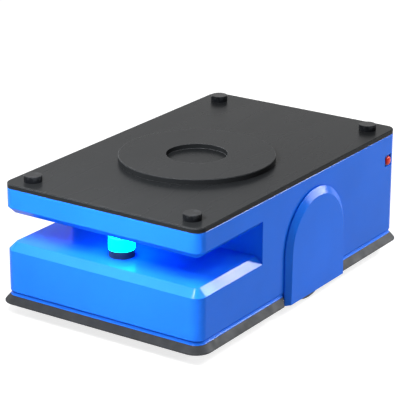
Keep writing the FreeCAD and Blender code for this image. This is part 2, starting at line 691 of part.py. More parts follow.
def make_drive_unit(side_name, x_sign):
    """Drive wheel with its tread, bearing bracket and gear motor, all on one axis."""
    half_tread = size["wheel_width"] / 2
    tread_inside = size["wheel_radius"] - size["tyre_thickness"]
    shoulder = size["tyre_thickness"] / 5

    def settle(target, label):
        place(target, wheel_x * x_sign, size["wheel_back"], size["wheel_radius"], turned(x_sign))
        finish(target, label + "_" + side_name)

    outer = size["wheel_radius"]
    tyre = turned_part("DriveTyre_" + side_name, [
        (tread_inside, -half_tread), (outer - shoulder, -half_tread), (outer, shoulder - half_tread),
        (outer, half_tread - shoulder), (outer - shoulder, half_tread), (tread_inside, half_tread)],
        upright=False)
    settle(tyre, "drive_tyre")

    shaft, hub, web = size["shaft_radius"], size["shaft_radius"] * 2, size["wheel_width"] / 10
    band_inside = tread_inside - web
    back = -half_tread - size["bracket_gap"] - size["bracket_thickness"]
    shaft_end = back + size["running_gap"]
    rim = turned_part("DriveRim_" + side_name, [
        (0.0, shaft_end), (shaft, shaft_end), (shaft, -half_tread), (hub, -half_tread), (hub, -web),
        (band_inside, -web), (band_inside, -half_tread), (tread_inside, -half_tread),
        (tread_inside, half_tread), (band_inside, half_tread), (band_inside, web), (hub, web),
        (hub, half_tread - web), (0.0, half_tread - web)], upright=False)
    hole = new_sketch(rim, f"DriveRimHole_{side_name}", "YZ_Plane", web * 2)
    draw_circle(hole, 0, (hub + band_inside) / 2, (band_inside - hub) * 0.3)
    lightening = pocket(rim, hole, web * 4)
    pattern_round(rim, lightening, RIM_HOLES, "X_Axis")
    settle(rim, "drive_rim")

    axle_to_pan = pan_top - size["wheel_radius"]
    bracket = new_body("DriveBracket_" + side_name)
    thickness = size["bracket_thickness"]
    upright_face = new_sketch(bracket, f"BracketFace_{side_name}", "YZ_Plane", back)
    draw_arch(upright_face, shaft * 3, shaft * 4, 0.0, axle_to_pan)
    pad(bracket, upright_face, thickness)
    foot = new_sketch(bracket, f"BracketFoot_{side_name}", "XY_Plane", axle_to_pan)
    draw_rectangle(foot, back - thickness, back + thickness, -shaft * 5, shaft * 5)
    pad(bracket, foot, size["pan_thickness"])
    bore = new_sketch(bracket, f"BracketBore_{side_name}", "YZ_Plane", back + thickness)
    draw_circle(bore, 0, 0, shaft + size["bore_clearance"])
    pocket(bracket, bore, thickness)
    settle(bracket, "drive_bracket")

    gearbox, can, step = shaft * 3, shaft * 2.6, shaft * 0.4
    neck = back - size["gearbox_length"]
    motor_end = carriage_side + size["motor_clearance"] - wheel_x
    motor = turned_part("DriveMotor_" + side_name, [
        (0.0, back), (gearbox, back), (gearbox, neck), (can, neck - step / 3), (can, motor_end + step),
        (can - step, motor_end), (0.0, motor_end)], upright=False)
    settle(motor, "drive_motor")


# ---------------------------------------------------------------- floor pan and casters

def make_floor_pan():
    """Pressed floor between the edge frames, with four caster wells and two wheel notches."""
    body = new_body("FloorPan")
    inset, wall = size["wall"] + size["frame_wall"], size["well_wall"]
    outline = new_sketch(body, "PanOutline", "XY_Plane", pan_bottom)
    draw_rounded_rectangle(outline, half_width - inset, half_length - inset, size["corner_radius"] - inset)
    pad(body, outline, size["pan_thickness"])
    centres = [(caster_x * x, caster_y * y) for x in (-1, 1) for y in (-1, 1)]
    wells = new_sketch(body, "WellWalls", "XY_Plane", pan_bottom)
    for x, y in centres:
        draw_circle(wells, x, y, size["well_radius"] + wall)
    pad(body, wells, size["well_roof"] + wall - pan_bottom)
    roof = (size["well_roof"] + wall).number
    dress(body, "Fillet", lambda edge: flat_at(edge, roof), wall)
    hollows = new_sketch(body, "WellHollows", "XY_Plane", size["well_roof"])
    for x, y in centres:
        draw_circle(hollows, x, y, size["well_radius"])
    pocket(body, hollows, size["well_roof"] - pan_bottom)
    notches = new_sketch(body, "WheelNotches", "XY_Plane", pan_top)
    inner = wheel_x - size["wheel_width"] / 2 - size["bracket_gap"] + size["running_gap"]
    front, rear = size["wheel_back"] - wheel_reach, size["wheel_back"] + wheel_reach
    draw_rectangle(notches, inner, half_width, front, rear)
    draw_rectangle(notches, -half_width, -inner, front, rear)
    pocket(body, notches, size["pan_thickness"])
    finish(body, "floor_pan")


def make_caster(corner, x, y):
    """One swivel caster: mount with kingpin, fork, axle bolt and wheel, trailing to the rear."""
    pin, axle = size["kingpin_radius"], size["caster_axle_radius"]
    gap, clear = size["running_gap"], size["bore_clearance"]
    roof, plate = size["well_roof"], size["caster_plate_radius"]
    race = roof - size["caster_plate_height"]
    crown_top, crown_height = race - gap, size["caster_crown_height"]
    crown_bottom = crown_top - crown_height
    nut_top = crown_bottom - gap
    nut_bottom = nut_top - size["caster_nut_height"]
    mount = turned_part("CasterMount_" + corner, [
        (0.0, roof), (plate, roof), (plate, roof - size["caster_plate_height"] * 0.6), (pin * 2.75, race),
        (pin, race), (pin, nut_top),
        (pin * 1.5, nut_top), (pin * 1.5, nut_bottom), (0.0, nut_bottom)])
    place(mount, x, y)
    finish(mount, "caster_mount_" + corner)

    axle_level, trail = size["caster_wheel_radius"], size["caster_trail"]
    leg_inside = size["caster_wheel_width"] / 2 + size["fork_gap"]
    leg_outside = leg_inside + size["fork_leg"]
    fork = new_body("CasterFork_" + corner)
    crown = new_sketch(fork, f"ForkCrown_{corner}", "XY_Plane", crown_bottom)
    draw_circle(crown, 0, 0, pin * 3)
    pad(fork, crown, crown_height)
    eye = axle * 2
    shoulder = crown_top - crown_height / 8
    legs = new_sketch(fork, f"ForkLegs_{corner}", "YZ_Plane", -leg_outside)
    draw_polygon(legs, [
        (-pin * 2, shoulder), (-pin, crown_bottom - pin), (trail - eye * 1.1, axle_level - eye * 0.3),
        (trail - eye / 2, axle_level - eye), (trail + eye / 2, axle_level - eye),
        (trail + eye * 1.1, axle_level - eye * 0.3), (trail + eye * 0.9, axle_level + eye * 1.2),
        (pin * 2, shoulder)])
    pad(fork, legs, leg_outside * 2)
    gap_between = new_sketch(fork, f"ForkGap_{corner}", "YZ_Plane", leg_inside)
    draw_rectangle(gap_between, -pin * 4, trail * 2, axle_level - eye * 2, crown_bottom)
    pocket(fork, gap_between, leg_inside * 2)
    bore = new_sketch(fork, f"ForkBore_{corner}", "XY_Plane", crown_top)
    draw_circle(bore, 0, 0, pin + clear)
    pocket(fork, bore, crown_height)
    hole = new_sketch(fork, f"ForkAxleHole_{corner}", "YZ_Plane", leg_outside)
    draw_circle(hole, trail, axle_level, axle + clear)
    pocket(fork, hole, leg_outside * 2)
    place(fork, x, y)
    finish(fork, "caster_fork_" + corner)

    head, bolt_end = axle * 1.7, leg_outside + size["bolt_head"]
    bolt = turned_part("CasterAxle_" + corner, [
        (0.0, -bolt_end), (head, -bolt_end), (head, -leg_outside), (axle, -leg_outside),
        (axle, leg_outside), (head, leg_outside), (head, bolt_end), (0.0, bolt_end)], upright=False)
    place(bolt, x, y + trail, axle_level)
    finish(bolt, "caster_axle_" + corner)

    half_tread, rim = size["caster_wheel_width"] / 2, size["caster_wheel_radius"]
    dished, shoulder = half_tread * 0.7, half_tread * 0.2
    half_section = [(axle + clear, half_tread), (rim * 0.35, half_tread), (rim * 0.4, dished),
                    (rim * 0.7, dished), (rim * 0.75, half_tread), (rim - shoulder, half_tread),
                    (rim, half_tread - shoulder)]
    wheel = turned_part("CasterWheel_" + corner,
                        half_section + [(radius, -x) for radius, x in reversed(half_section)], upright=False)
    place(wheel, x, y + trail, axle_level)
    finish(wheel, "caster_wheel_" + corner)


# ---------------------------------------------------------------- lift and turntable

def tooth_outline(teeth):
    """Give one involute tooth about the +Y axis as (x, y) in modules, root to root."""
    pitch = teeth / 2
    base = pitch * math.cos(PRESSURE_ANGLE)
    tip, root = pitch + 1, pitch - DEDENDUM
    pitch_half_angle = math.pi / teeth / 2 * (1 - BACKLASH)
    involute_at_pitch = math.tan(PRESSURE_ANGLE) - PRESSURE_ANGLE

    def half_angle(radius):
        if radius <= base:
            return pitch_half_angle + involute_at_pitch
        angle = math.acos(base / radius)
        return pitch_half_angle + involute_at_pitch - (math.tan(angle) - angle)

    radii = [root - 0.4, max(root, base), (max(root, base) + pitch) / 2, pitch, (pitch + tip) / 2, tip]
    flank = [(radius * math.sin(half_angle(radius)), radius * math.cos(half_angle(radius)))
             for radius in radii]
    return flank + [(-x, y) for x, y in reversed(flank)]


def add_teeth(body, name, teeth, level):
    """Grow the teeth of a spur gear on the body by one tooth and a polar pattern."""
    sketch = new_sketch(body, name + "Tooth", "XY_Plane", level)
    module = size["tooth_module"]
    draw_polygon(sketch, [(module * x, module * y) for x, y in tooth_outline(teeth)])
    tooth = pad(body, sketch, size["gear_width"])
    document.recompute()
    return pattern_round(body, tooth, teeth)


def make_lift():
    """Screw lift on four posts, carrying a geared turntable through the top plate."""
    gap, clear = size["running_gap"], size["bore_clearance"]
    motor_top = pan_top + size["lift_motor_height"]
    screw = size["screw_radius"]
    journal, journal_length = screw * (2 / 3), screw * (5 / 3)
    motor = new_body("LiftMotor")
    case = new_sketch(motor, "LiftMotorCase", "XY_Plane", pan_top)
    draw_rounded_rectangle(case, screw * 3.5, screw * 3.5, screw / 2)
    pad(motor, case, motor_top - pan_top)
    seat = new_sketch(motor, "LiftMotorBore", "XY_Plane", motor_top)
    draw_circle(seat, 0, 0, journal + clear)
    pocket(motor, seat, journal_length)
    place(motor, y=lift_y)
    finish(motor, "lift_motor")

    carriage_bottom = size["carriage_height"]
    carriage_top = carriage_bottom + size["carriage_thickness"]
    gear_bottom = carriage_top + size["bearing_height"] + gap
    screw_top = carriage_top + size["lift_travel"] + size["carriage_thickness"] * 3
    screw_foot, collar = motor_top - journal_length + gap, screw * 1.4
    lift_screw = turned_part("LiftScrew", [
        (0.0, screw_foot), (journal, screw_foot), (journal, motor_top + gap), (collar, motor_top + gap),
        (collar, motor_top + screw * 0.7), (screw, motor_top + screw), (screw, screw_top - screw / 6),
        (screw - screw / 6, screw_top), (0.0, screw_top)])
    place(lift_screw, y=lift_y)
    finish(lift_screw, "lift_screw")

    post_x, post_y, post = size["post_x"], size["post_y"], size["post_radius"]
    posts = [cylinder(f"GuidePost{x}{y}", post, shell_top - size["wall"] - pan_top,
                      post_x * x_sign, lift_y + post_y * y_sign, pan_top)
             for x, x_sign in (("Left", -1), ("Right", 1)) for y, y_sign in (("Front", -1), ("Rear", 1))]
    group = document.addObject("Part::Compound", "GuidePosts")
    group.Links = posts
    finish(group, "guide_posts")

    drive_radius, boss = size["turn_motor_radius"], post * 1.7
    root_depth = size["tooth_module"] * DEDENDUM
    nose = drive_radius + size["motor_margin"] * 3
    carriage = new_body("LiftCarriage")
    plate = new_sketch(carriage, "CarriagePlate", "XY_Plane", carriage_bottom)
    draw_polygon(plate, [(-carriage_side, -carriage_rear), (-nose, carriage_front), (nose, carriage_front),
                         (carriage_side, -carriage_rear), (carriage_side, carriage_rear),
                         (-carriage_side, carriage_rear)])
    pad(carriage, plate, size["carriage_thickness"])
    bosses = new_sketch(carriage, "CarriageBosses", "XY_Plane", carriage_bottom - size["carriage_thickness"])
    corners = [(post_x * x, post_y * y) for x in (-1, 1) for y in (-1, 1)]
    for x, y in corners:
        draw_circle(bosses, x, y, boss)
    pad(carriage, bosses, size["carriage_thickness"] * 3)
    nut = new_sketch(carriage, "CarriageNut", "XY_Plane", carriage_bottom - size["carriage_thickness"])
    draw_circle(nut, 0, 0, screw * 2)
    pad(carriage, nut, size["carriage_thickness"] * 2.5)
    bores = new_sketch(carriage, "CarriageBores", "XY_Plane", carriage_top + size["carriage_thickness"])
    for x, y in corners:
        draw_circle(bores, x, y, post + clear)
    draw_circle(bores, 0, 0, screw + clear)
    draw_circle(bores, 0, pinion_y, journal)
    pocket(carriage, bores, size["carriage_thickness"] * 3)
    place(carriage, y=lift_y)
    finish(carriage, "lift_carriage")

    bearing_bore, bearing_top = size["bearing_bore"], carriage_top + size["bearing_height"]
    bearing_outside, bevel = bearing_bore + size["bearing_width"], size["bearing_height"] / 4.5
    ring = turned_part("TurntableBearing", [
        (bearing_bore, carriage_top), (bearing_outside, carriage_top), (bearing_outside, bearing_top - bevel),
        (bearing_outside - bevel, bearing_top), (bearing_bore, bearing_top)])
    place(ring, y=lift_y)
    finish(ring, "turntable_bearing")

    shaft, rounding = size["motor_shaft_radius"], size["motor_margin"]
    motor_foot = carriage_bottom - size["turn_motor_height"]
    socket_bottom = carriage_bottom - shaft * (10 / 3)
    turn_motor = turned_part("TurntableMotor", [
        (0.0, motor_foot), (drive_radius - rounding, motor_foot), (drive_radius, motor_foot + rounding),
        (drive_radius, carriage_bottom), (shaft + clear, carriage_bottom), (shaft + clear, socket_bottom),
        (0.0, socket_bottom)])
    place(turn_motor, y=lift_y + pinion_y)
    finish(turn_motor, "turntable_motor")

    gear_top = gear_bottom + size["gear_width"]
    pinion_root, ring_root = pinion_pitch - root_depth, ring_pitch - root_depth
    pinion = turned_part("TurntablePinion", [
        (0.0, socket_bottom + gap), (shaft, socket_bottom + gap), (shaft, gear_bottom),
        (pinion_root, gear_bottom), (pinion_root, gear_top), (0.0, gear_top)])
    add_teeth(pinion, "Pinion", PINION_TEETH, gear_bottom)
    place(pinion, y=lift_y + pinion_y, turn=(FreeCAD.Vector(0, 0, 1), 180.0 / PINION_TEETH))
    finish(pinion, "turntable_pinion")

    boss_bottom = shell_top
    tube_outside = bearing_bore - size["spindle_step"]
    tube_inside = tube_outside - size["spindle_wall"]
    spindle = turned_part("TurntableSpindle", [
        (tube_inside, carriage_top + gap), (bearing_bore - clear, carriage_top + gap),
        (bearing_bore - clear, gear_bottom), (ring_root, gear_bottom), (ring_root, gear_top),
        (tube_outside, gear_top), (tube_outside, boss_bottom), (tube_inside, boss_bottom)])
    add_teeth(spindle, "Ring", RING_TEETH, gear_bottom)
    place(spindle, y=lift_y)
    finish(spindle, "turntable_spindle")

    disc, disc_boss, edge = size["disc_radius"], size["disc_boss_radius"], size["disc_edge"]
    disc_top, disc_bottom = plate_top + size["disc_thickness"], plate_top + gap
    turntable = turned_part("TurntableDisc", [
        (0.0, boss_bottom), (disc_boss, boss_bottom), (disc_boss, disc_bottom), (disc, disc_bottom),
        (disc, disc_top - edge), (disc - edge, disc_top), (size["recess_radius"], disc_top),
        (size["recess_radius"], disc_top - size["recess_depth"]), (0.0, disc_top - size["recess_depth"])])
    place(turntable, y=lift_y)
    finish(turntable, "turntable_disc")


# ---------------------------------------------------------------- scanner, button, inner units

def make_scanner():
    """Laser scanner on the slot floor: housing, window, dark seal ring, cap and spinning head."""
    radius, wall, gap = size["scanner_radius"], size["window_wall"], size["running_gap"]
    body_radius, rim, edge = radius - size["scanner_step"], size["scanner_rim"], size["cap_edge"]
    base_top = slot_floor + size["scanner_base_height"]
    window_top = base_top + size["window_height"]
    seal_top = window_top + size["seal_height"]
    cap_top = seal_top + size["cap_height"]
    pivot, seat = size["head_pivot"], base_top - size["head_seat"]
    head_bottom, head_top = base_top + size["head_clearance"], window_top - size["head_clearance"] / 2
    sections = {
        "scanner_base": [
            (0.0, slot_floor), (body_radius, slot_floor), (body_radius, base_top - rim * 2),
            (radius, base_top - rim), (radius, base_top), (pivot + size["bore_clearance"], base_top),
            (pivot + size["bore_clearance"], seat), (0.0, seat)],
        "scanner_window": [
            (radius - wall, base_top), (radius, base_top), (radius, window_top), (radius - wall, window_top)],
        "scanner_seal": [
            (radius - wall, window_top), (body_radius, window_top), (body_radius, seal_top),
            (radius - wall, seal_top)],
        "scanner_cap": [
            (radius - wall, seal_top), (radius, seal_top), (radius, cap_top - edge), (radius - edge, cap_top),
            (0.0, cap_top), (0.0, cap_top - wall), (radius - wall, cap_top - wall)],
        "scanner_head": [
            (0.0, seat + gap), (pivot, seat + gap), (pivot, head_bottom), (radius * 0.7, head_bottom),
            (radius * 0.7, head_top - radius * 0.2), (radius * 0.5, head_top), (0.0, head_top)],
    }
    for label, section in sections.items():
        body = turned_part(label.title().replace("_", ""), section)
        place(body, y=front_face + size["scanner_setback"])
        finish(body, label)


def make_stop_button():
    """Domed push button in a square socket let into the right-hand side of the body."""
    depth, floor_thickness = size["pocket_depth"], size["socket_floor"]
    half_outside = size["pocket_side"] / 2 + size["socket_wall"]
    stem = size["button_stem"]
    socket = new_body("ButtonSocket")
    case = new_sketch(socket, "SocketCase", "YZ_Plane", -depth - floor_thickness)
    draw_rectangle(case, -half_outside, half_outside, -half_outside, half_outside)
    pad(socket, case, depth + floor_thickness)
    flange_thickness, half_flange = size["socket_wall"] * 1.5, half_outside + size["socket_flange"]
    flange = new_sketch(socket, "SocketFlange", "YZ_Plane", -size["wall"] - flange_thickness)
    draw_rectangle(flange, -half_flange, size["pocket_side"] / 2, -half_flange, half_flange)
    pad(socket, flange, flange_thickness)
    hollow = new_sketch(socket, "SocketPocket", "YZ_Plane", 0.0)
    half_pocket = size["pocket_side"] / 2
    draw_rectangle(hollow, -half_pocket, half_pocket, -half_pocket, half_pocket)
    pocket(socket, hollow, depth)
    bore = new_sketch(socket, "SocketBore", "YZ_Plane", -depth)
    draw_circle(bore, 0, 0, stem + size["bore_clearance"])
    pocket(socket, bore, floor_thickness)
    place(socket, half_width, button_back, button_level)
    finish(socket, "button_socket")

    head, travel = size["button_radius"], size["button_travel"]
    back, crown = travel + size["running_gap"] - depth, size["button_crown"]
    button = turned_part("StopButton", [
        (0.0, -depth - floor_thickness + travel), (stem, -depth - floor_thickness + travel), (stem, back),
        (head, back), (head, back + crown * 0.28), (head * 0.9, back + crown * 0.56),
        (head * 0.7, back + crown * 0.79), (head * 0.4, back + crown * 0.94), (0.0, back + crown)],
        upright=False)
    place(button, half_width, button_back, button_level)
    finish(button, "stop_button")


def make_inner_units():
    """Battery behind the lift and drive controller in the nose, both standing on the pan."""
    frame_inside = half_length - size["wall"] - size["frame_wall"]
    battery_front = lift_y + carriage_rear + size["battery_front_gap"]
    battery_rear = frame_inside - size["battery_rear_gap"]
    corner, grip = size["battery_width"] / 30, size["battery_width"] / 4
    battery = new_body("BatteryPack")
    case = new_sketch(battery, "BatteryCase", "XY_Plane", pan_top)
    draw_rounded_rectangle(case, size["battery_width"] / 2, (battery_rear - battery_front) / 2, corner)
    pad(battery, case, size["battery_height"])
    handle = new_sketch(battery, "BatteryGrip", "XY_Plane", pan_top + size["battery_height"])
    draw_rectangle(handle, -grip, grip, -grip / 4, grip / 4)
    pocket(battery, handle, grip * 0.3)
    place(battery, y=(battery_front + battery_rear) / 2)
    finish(battery, "battery_pack")

    half_wide, half_long = size["controller_width"] / 2, size["controller_length"] / 2
    margin = size["fin_margin"]
    controller = new_body("DriveController")
    box = new_sketch(controller, "ControllerCase", "XY_Plane", pan_top)
    draw_rounded_rectangle(box, half_wide, half_long, margin / 2)
    pad(controller, box, size["controller_height"])
    fin = new_sketch(controller, "ControllerFin", "XY_Plane", pan_top + size["controller_height"])
    draw_rectangle(fin, margin - half_wide, margin + size["fin_thickness"] - half_wide,
                   margin - half_long, half_long - margin)
    first_fin = pad(controller, fin, size["fin_height"])
    document.recompute()
    row = controller.newObject("PartDesign::LinearPattern", "ControllerFins")
    row.Originals = [first_fin]
    support = [origin for origin in controller.Origin.OriginFeatures if origin.Role == "X_Axis"][0]
    row.Direction = (support, [""])
    bind(row, "Length", size["controller_width"] - margin * 2 - size["fin_thickness"])
    row.Occurrences = FIN_COUNT
    controller.Tip = row
    document.recompute()
    place(controller, y=front_face + size["controller_setback"] + half_long)
    finish(controller, "drive_controller")


def check_and_export():
    """Stop on any failed feature or invalid solid, then write one STEP file per sub-part."""
    document.recompute()
    for item in document.Objects:
        if "Invalid" in item.State or "Error" in item.State:
            raise RuntimeError(f"{item.Name} failed: {item.State}")
    os.makedirs("parts", exist_ok=True)
    for part in parts:
        shape = part.Shape
        if shape.isNull() or not shape.isValid():
            raise RuntimeError(f"{part.Label} has no valid shape")
        shape.exportStep(f"parts/{part.Label}.step")
        print(part.Label, len(shape.Solids), round(shape.Volume))


make_body_shell()
make_lower_edge()
make_top_plate()
make_load_pads()
for side, sign in (("left", -1), ("right", 1)):
    make_wheel_cover(side, sign)
    make_drive_unit(side, sign)
make_floor_pan()
for end_name, end_sign in (("front", -1), ("rear", 1)):
    for side, sign in (("left", -1), ("right", 1)):
        make_caster(f"{end_name}_{side}", caster_x * sign, caster_y * end_sign)
make_lift()
make_scanner()
make_stop_button()
make_inner_units()
check_and_export()
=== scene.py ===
"""Autonomous mobile robot: finishes, small fittings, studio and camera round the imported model.

Metres.  +Z is up, the robot's front faces -Y and +X is its right-hand side.
"""

import enum
import logging
import math
from dataclasses import dataclass
from typing import Callable, Iterable, Sequence

import bmesh
import bpy
from mathutils import Matrix, Vector


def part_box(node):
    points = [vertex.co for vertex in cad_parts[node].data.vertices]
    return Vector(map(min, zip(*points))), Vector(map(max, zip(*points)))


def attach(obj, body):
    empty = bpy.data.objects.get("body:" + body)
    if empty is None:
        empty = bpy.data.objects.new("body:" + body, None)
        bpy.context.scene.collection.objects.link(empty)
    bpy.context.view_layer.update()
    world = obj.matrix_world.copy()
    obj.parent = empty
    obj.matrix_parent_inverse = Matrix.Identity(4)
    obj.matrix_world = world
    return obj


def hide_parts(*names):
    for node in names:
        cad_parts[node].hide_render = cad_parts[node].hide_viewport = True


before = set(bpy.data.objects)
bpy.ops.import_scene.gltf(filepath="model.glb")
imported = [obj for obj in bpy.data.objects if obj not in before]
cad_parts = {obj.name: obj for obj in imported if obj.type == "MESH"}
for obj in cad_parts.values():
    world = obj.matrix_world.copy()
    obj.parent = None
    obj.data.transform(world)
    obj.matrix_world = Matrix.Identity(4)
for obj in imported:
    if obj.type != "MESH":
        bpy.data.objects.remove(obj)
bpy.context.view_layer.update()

Point = tuple[float, float, float]
Colour = tuple[float, float, float, float]
Span = tuple[float, float]
Socket = bpy.types.NodeSocket

MM = 0.001
SIDES = {"left": -1, "right": 1}
CORNERS = {"front_left": (-1, -1), "front_right": (1, -1), "rear_left": (-1, 1), "rear_right": (1, 1)}

# A face looks along an axis when its normal has more than FACING of it, and belongs to the wall
# round that axis when its normal has less than ROUND of it.
FACING = 0.9
ROUND = 0.5

DOWN = (0.0, 0.0, -1.0)
EDGE_SAMPLES = 6

log = logging.getLogger("robot")


# ---------------------------------------------------------------- colour and nodes

def linear(hex_colour: str) -> Colour:
    """Turn an sRGB hex colour into the linear colour that the shaders use.

    Args:
        hex_colour: six hex digits, without a sign before them.

    Returns:
        Red, green, blue and an alpha of one.
    """
    channels = []
    for start in (0, 2, 4):
        value = int(hex_colour[start:start + 2], 16) / 255
        channels.append(value / 12.92 if value <= 0.04045 else ((value + 0.055) / 1.055) ** 2.4)
    return (*channels, 1.0)


def add_node(tree: bpy.types.NodeTree, kind: str, inputs: dict | None = None, **settings: object
             ) -> bpy.types.Node:
    """Add one node with its settings, and set or link its inputs.

    Args:
        tree: the node tree of a material or of the world.
        kind: the node's type name, without "ShaderNode".
        inputs: for each input, by name or number, a value or an output socket to link from.
        settings: the node's own properties.

    Returns:
        The new node.
    """
    node = tree.nodes.new("ShaderNode" + kind)
    for name, value in settings.items():
        setattr(node, name, value)
    for key, value in (inputs or {}).items():
        if isinstance(value, Socket):
            tree.links.new(value, node.inputs[key])
        else:
            node.inputs[key].default_value = value
    return node


class Axis(enum.Enum):
    """The direction that a grain or a turned mark runs along or round."""

    X = (1.0, 0.0, 0.0)
    Y = (0.0, 1.0, 0.0)
    Z = (0.0, 0.0, 1.0)


class Surface:
    """One material in the making: a principled shader with detail nodes in front of it."""

    def __init__(self, name: str) -> None:
        """Start an empty material.

        Args:
            name: the material's name.
        """
        self.material = bpy.data.materials.new(name)
        self.material.use_nodes = True
        self.tree = self.material.node_tree
        self.tree.nodes.clear()
        self.shader = add_node(self.tree, "BsdfPrincipled")
        add_node(self.tree, "OutputMaterial", {"Surface": self.shader.outputs["BSDF"]})
        self.place = add_node(self.tree, "TexCoord").outputs["Object"]

    def set(self, **values: object) -> None:
        """Set constants straight on the shader's sockets; spaces are written as underscores."""
        for name, value in values.items():
            self.shader.inputs[name.replace("_", " ")].default_value = value

    def feed(self, name: str, socket: Socket) -> None:
        """Link a varying value into one of the shader's sockets."""
        self.tree.links.new(socket, self.shader.inputs[name])

    def moved(self, centre: Point = (0, 0, 0), stretch: Point = (1, 1, 1)) -> Socket:
        """Give object coordinates about a centre, stretched along each axis.

        Args:
            centre: the point that becomes the origin.
            stretch: a factor for each axis.

        Returns:
            The socket with the coordinates.
        """
        less = add_node(self.tree, "VectorMath", {0: self.place, 1: centre}, operation="SUBTRACT")
        scaled = add_node(self.tree, "VectorMath", {0: less.outputs[0], 1: stretch}, operation="MULTIPLY")
        return scaled.outputs[0]

    def clouds(self, size: float, low: float, high: float, detail: float = 2.0, at: Socket | None = None,
               levels: Span = (0.3, 0.7)) -> Socket:
        """Let a value drift from low to high in soft clouds.

        Args:
            size: how far across a cloud is.
            low: the value between the clouds.
            high: the value inside them.
            detail: how many finer layers lie on the clouds.
            at: coordinates to use in place of the object's own.
            levels: the noise levels that give the low and the high value.

        Returns:
            The socket with the value.
        """
        noise = add_node(self.tree, "TexNoise",
                         {"Vector": at or self.place, "Scale": 1 / size, "Detail": detail})
        drift = add_node(self.tree, "MapRange", {"Value": noise.outputs["Fac"], "To Min": low, "To Max": high,
                                                 "From Min": levels[0], "From Max": levels[1]})
        return drift.outputs["Result"]

    def coats(self, ground: Colour | Socket, *coats: tuple[Socket, Colour]) -> Socket:
        """Lay coats of colour over a ground, each through its own mask.

        Args:
            ground: the colour below.
            coats: for each coat, its mask and its colour, from the lowest to the highest.

        Returns:
            The socket with the colour.
        """
        for mask, colour in coats:
            mix = add_node(self.tree, "MixRGB", {"Fac": mask, "Color1": ground, "Color2": colour})
            ground = mix.outputs["Color"]
        return ground

    def gloss(self, roughness: float, uneven: Span, size: float, detail: float = 2.0,
              at: Socket | None = None) -> None:
        """Let the roughness drift about its typical value.

        Args:
            roughness: the typical value.
            uneven: how far below and above it the roughness goes.
            size: how far across a cloud is.
            detail: how many finer layers lie on the clouds.
            at: coordinates to use in place of the object's own.
        """
        low, high = (roughness + part for part in uneven)
        self.feed("Roughness", self.clouds(size, low, high, detail, at))

    def edges(self, radius: float, flatness: Span = (0.90, 0.995)) -> Socket:
        """Mask the sharp edges.

        Args:
            radius: how far from an edge the mask reaches.
            flatness: how alike the true and the rounded normal are at the mask's full and zero level.

        Returns:
            The socket with the mask, one along the edges and zero on flat faces.
        """
        smooth = add_node(self.tree, "Bevel", {"Radius": radius}, samples=EDGE_SAMPLES)
        plain_face = add_node(self.tree, "NewGeometry")
        dot = add_node(self.tree, "VectorMath",
                       {0: smooth.outputs["Normal"], 1: plain_face.outputs["Normal"]},
                       operation="DOT_PRODUCT")
        mask = add_node(self.tree, "MapRange", {"Value": dot.outputs["Value"], "From Min": flatness[0],
                                                "From Max": flatness[1], "To Min": 1.0, "To Max": 0.0})
        return mask.outputs["Result"]

    def grain(self, height: Socket, depth: float, rounding: float) -> None:
        """Drive the surface normal with a height, over edges that look rounded.

        Args:
            height: the pattern, from zero to one.
            depth: how deep the pattern is.
            rounding: the radius that sharp edges seem to have.
        """
        rounded = add_node(self.tree, "Bevel", {"Radius": rounding}, samples=EDGE_SAMPLES)
        bump = add_node(self.tree, "Bump", {"Height": height, "Distance": depth, "Strength": 1.0,
                                            "Normal": rounded.outputs["Normal"]})
        self.feed("Normal", bump.outputs["Normal"])


# ---------------------------------------------------------------- finishes

@dataclass(frozen=True)
class SprayedEnamel:
    """Two-pack enamel sprayed on a moulded shell: even, satin-glossy, with faint orange peel."""

    name: str = "enamel_sprayed_blue"
    colour: str = "1B73F2"
    deepening: float = 0.93
    specular: float = 0.09
    ior: float = 1.46
    roughness: float = 0.17
    uneven: Span = (-0.02, 0.04)
    cloud: float = 160 * MM
    gloss_cloud: float = 40 * MM
    peel: float = 4.0 * MM
    peel_depth: float = 0.012 * MM
    rounding: float = 1.6 * MM

    def make(self) -> bpy.types.Material:
        """Build slow colour clouds, uneven gloss, orange peel and edges that catch the light.

        Returns:
            The finished material.
        """
        surface = Surface(self.name)
        base = linear(self.colour)
        deep = tuple(channel * self.deepening for channel in base[:3]) + (1.0,)
        surface.feed("Base Color", surface.coats(deep, (surface.clouds(self.cloud, 0.0, 1.0), base)))
        surface.gloss(self.roughness, self.uneven, self.gloss_cloud)
        surface.set(IOR=self.ior, Specular_IOR_Level=self.specular)
        peel = add_node(surface.tree, "TexNoise", {"Vector": surface.place, "Scale": 1 / self.peel})
        surface.grain(peel.outputs["Fac"], self.peel_depth, self.rounding)
        return surface.material


@dataclass(frozen=True)
class MouldedRubber:
    """Compression-moulded rubber: matt, pebbled, with pale dust rubbed into the low places."""

    name: str
    colour: str
    dust: str
    dust_cloud: float = 60 * MM
    dust_cover: float = 0.55
    dust_levels: Span = (0.40, 0.75)
    specular: float = 0.35
    roughness: float = 0.62
    uneven: Span = (-0.06, 0.08)
    gloss_cloud: float = 25 * MM
    pebble: float = 2.2 * MM
    pebble_depth: float = 0.10 * MM
    rounding: float = 1.2 * MM

    def make(self) -> bpy.types.Material:
        """Build dust and pebble grain, the grain coarser than the real 0.8 mm so that it shows.

        Returns:
            The finished material.
        """
        surface = Surface(self.name)
        dusty = surface.clouds(self.dust_cloud, 0.0, self.dust_cover, detail=4.0, levels=self.dust_levels)
        surface.feed("Base Color", surface.coats(linear(self.colour), (dusty, linear(self.dust))))
        surface.gloss(self.roughness, self.uneven, self.gloss_cloud)
        surface.set(IOR=1.5, Specular_IOR_Level=self.specular)
        pebbles = add_node(surface.tree, "TexVoronoi", {"Vector": surface.place, "Scale": 1 / self.pebble})
        surface.grain(pebbles.outputs["Distance"], self.pebble_depth, self.rounding)
        return surface.material


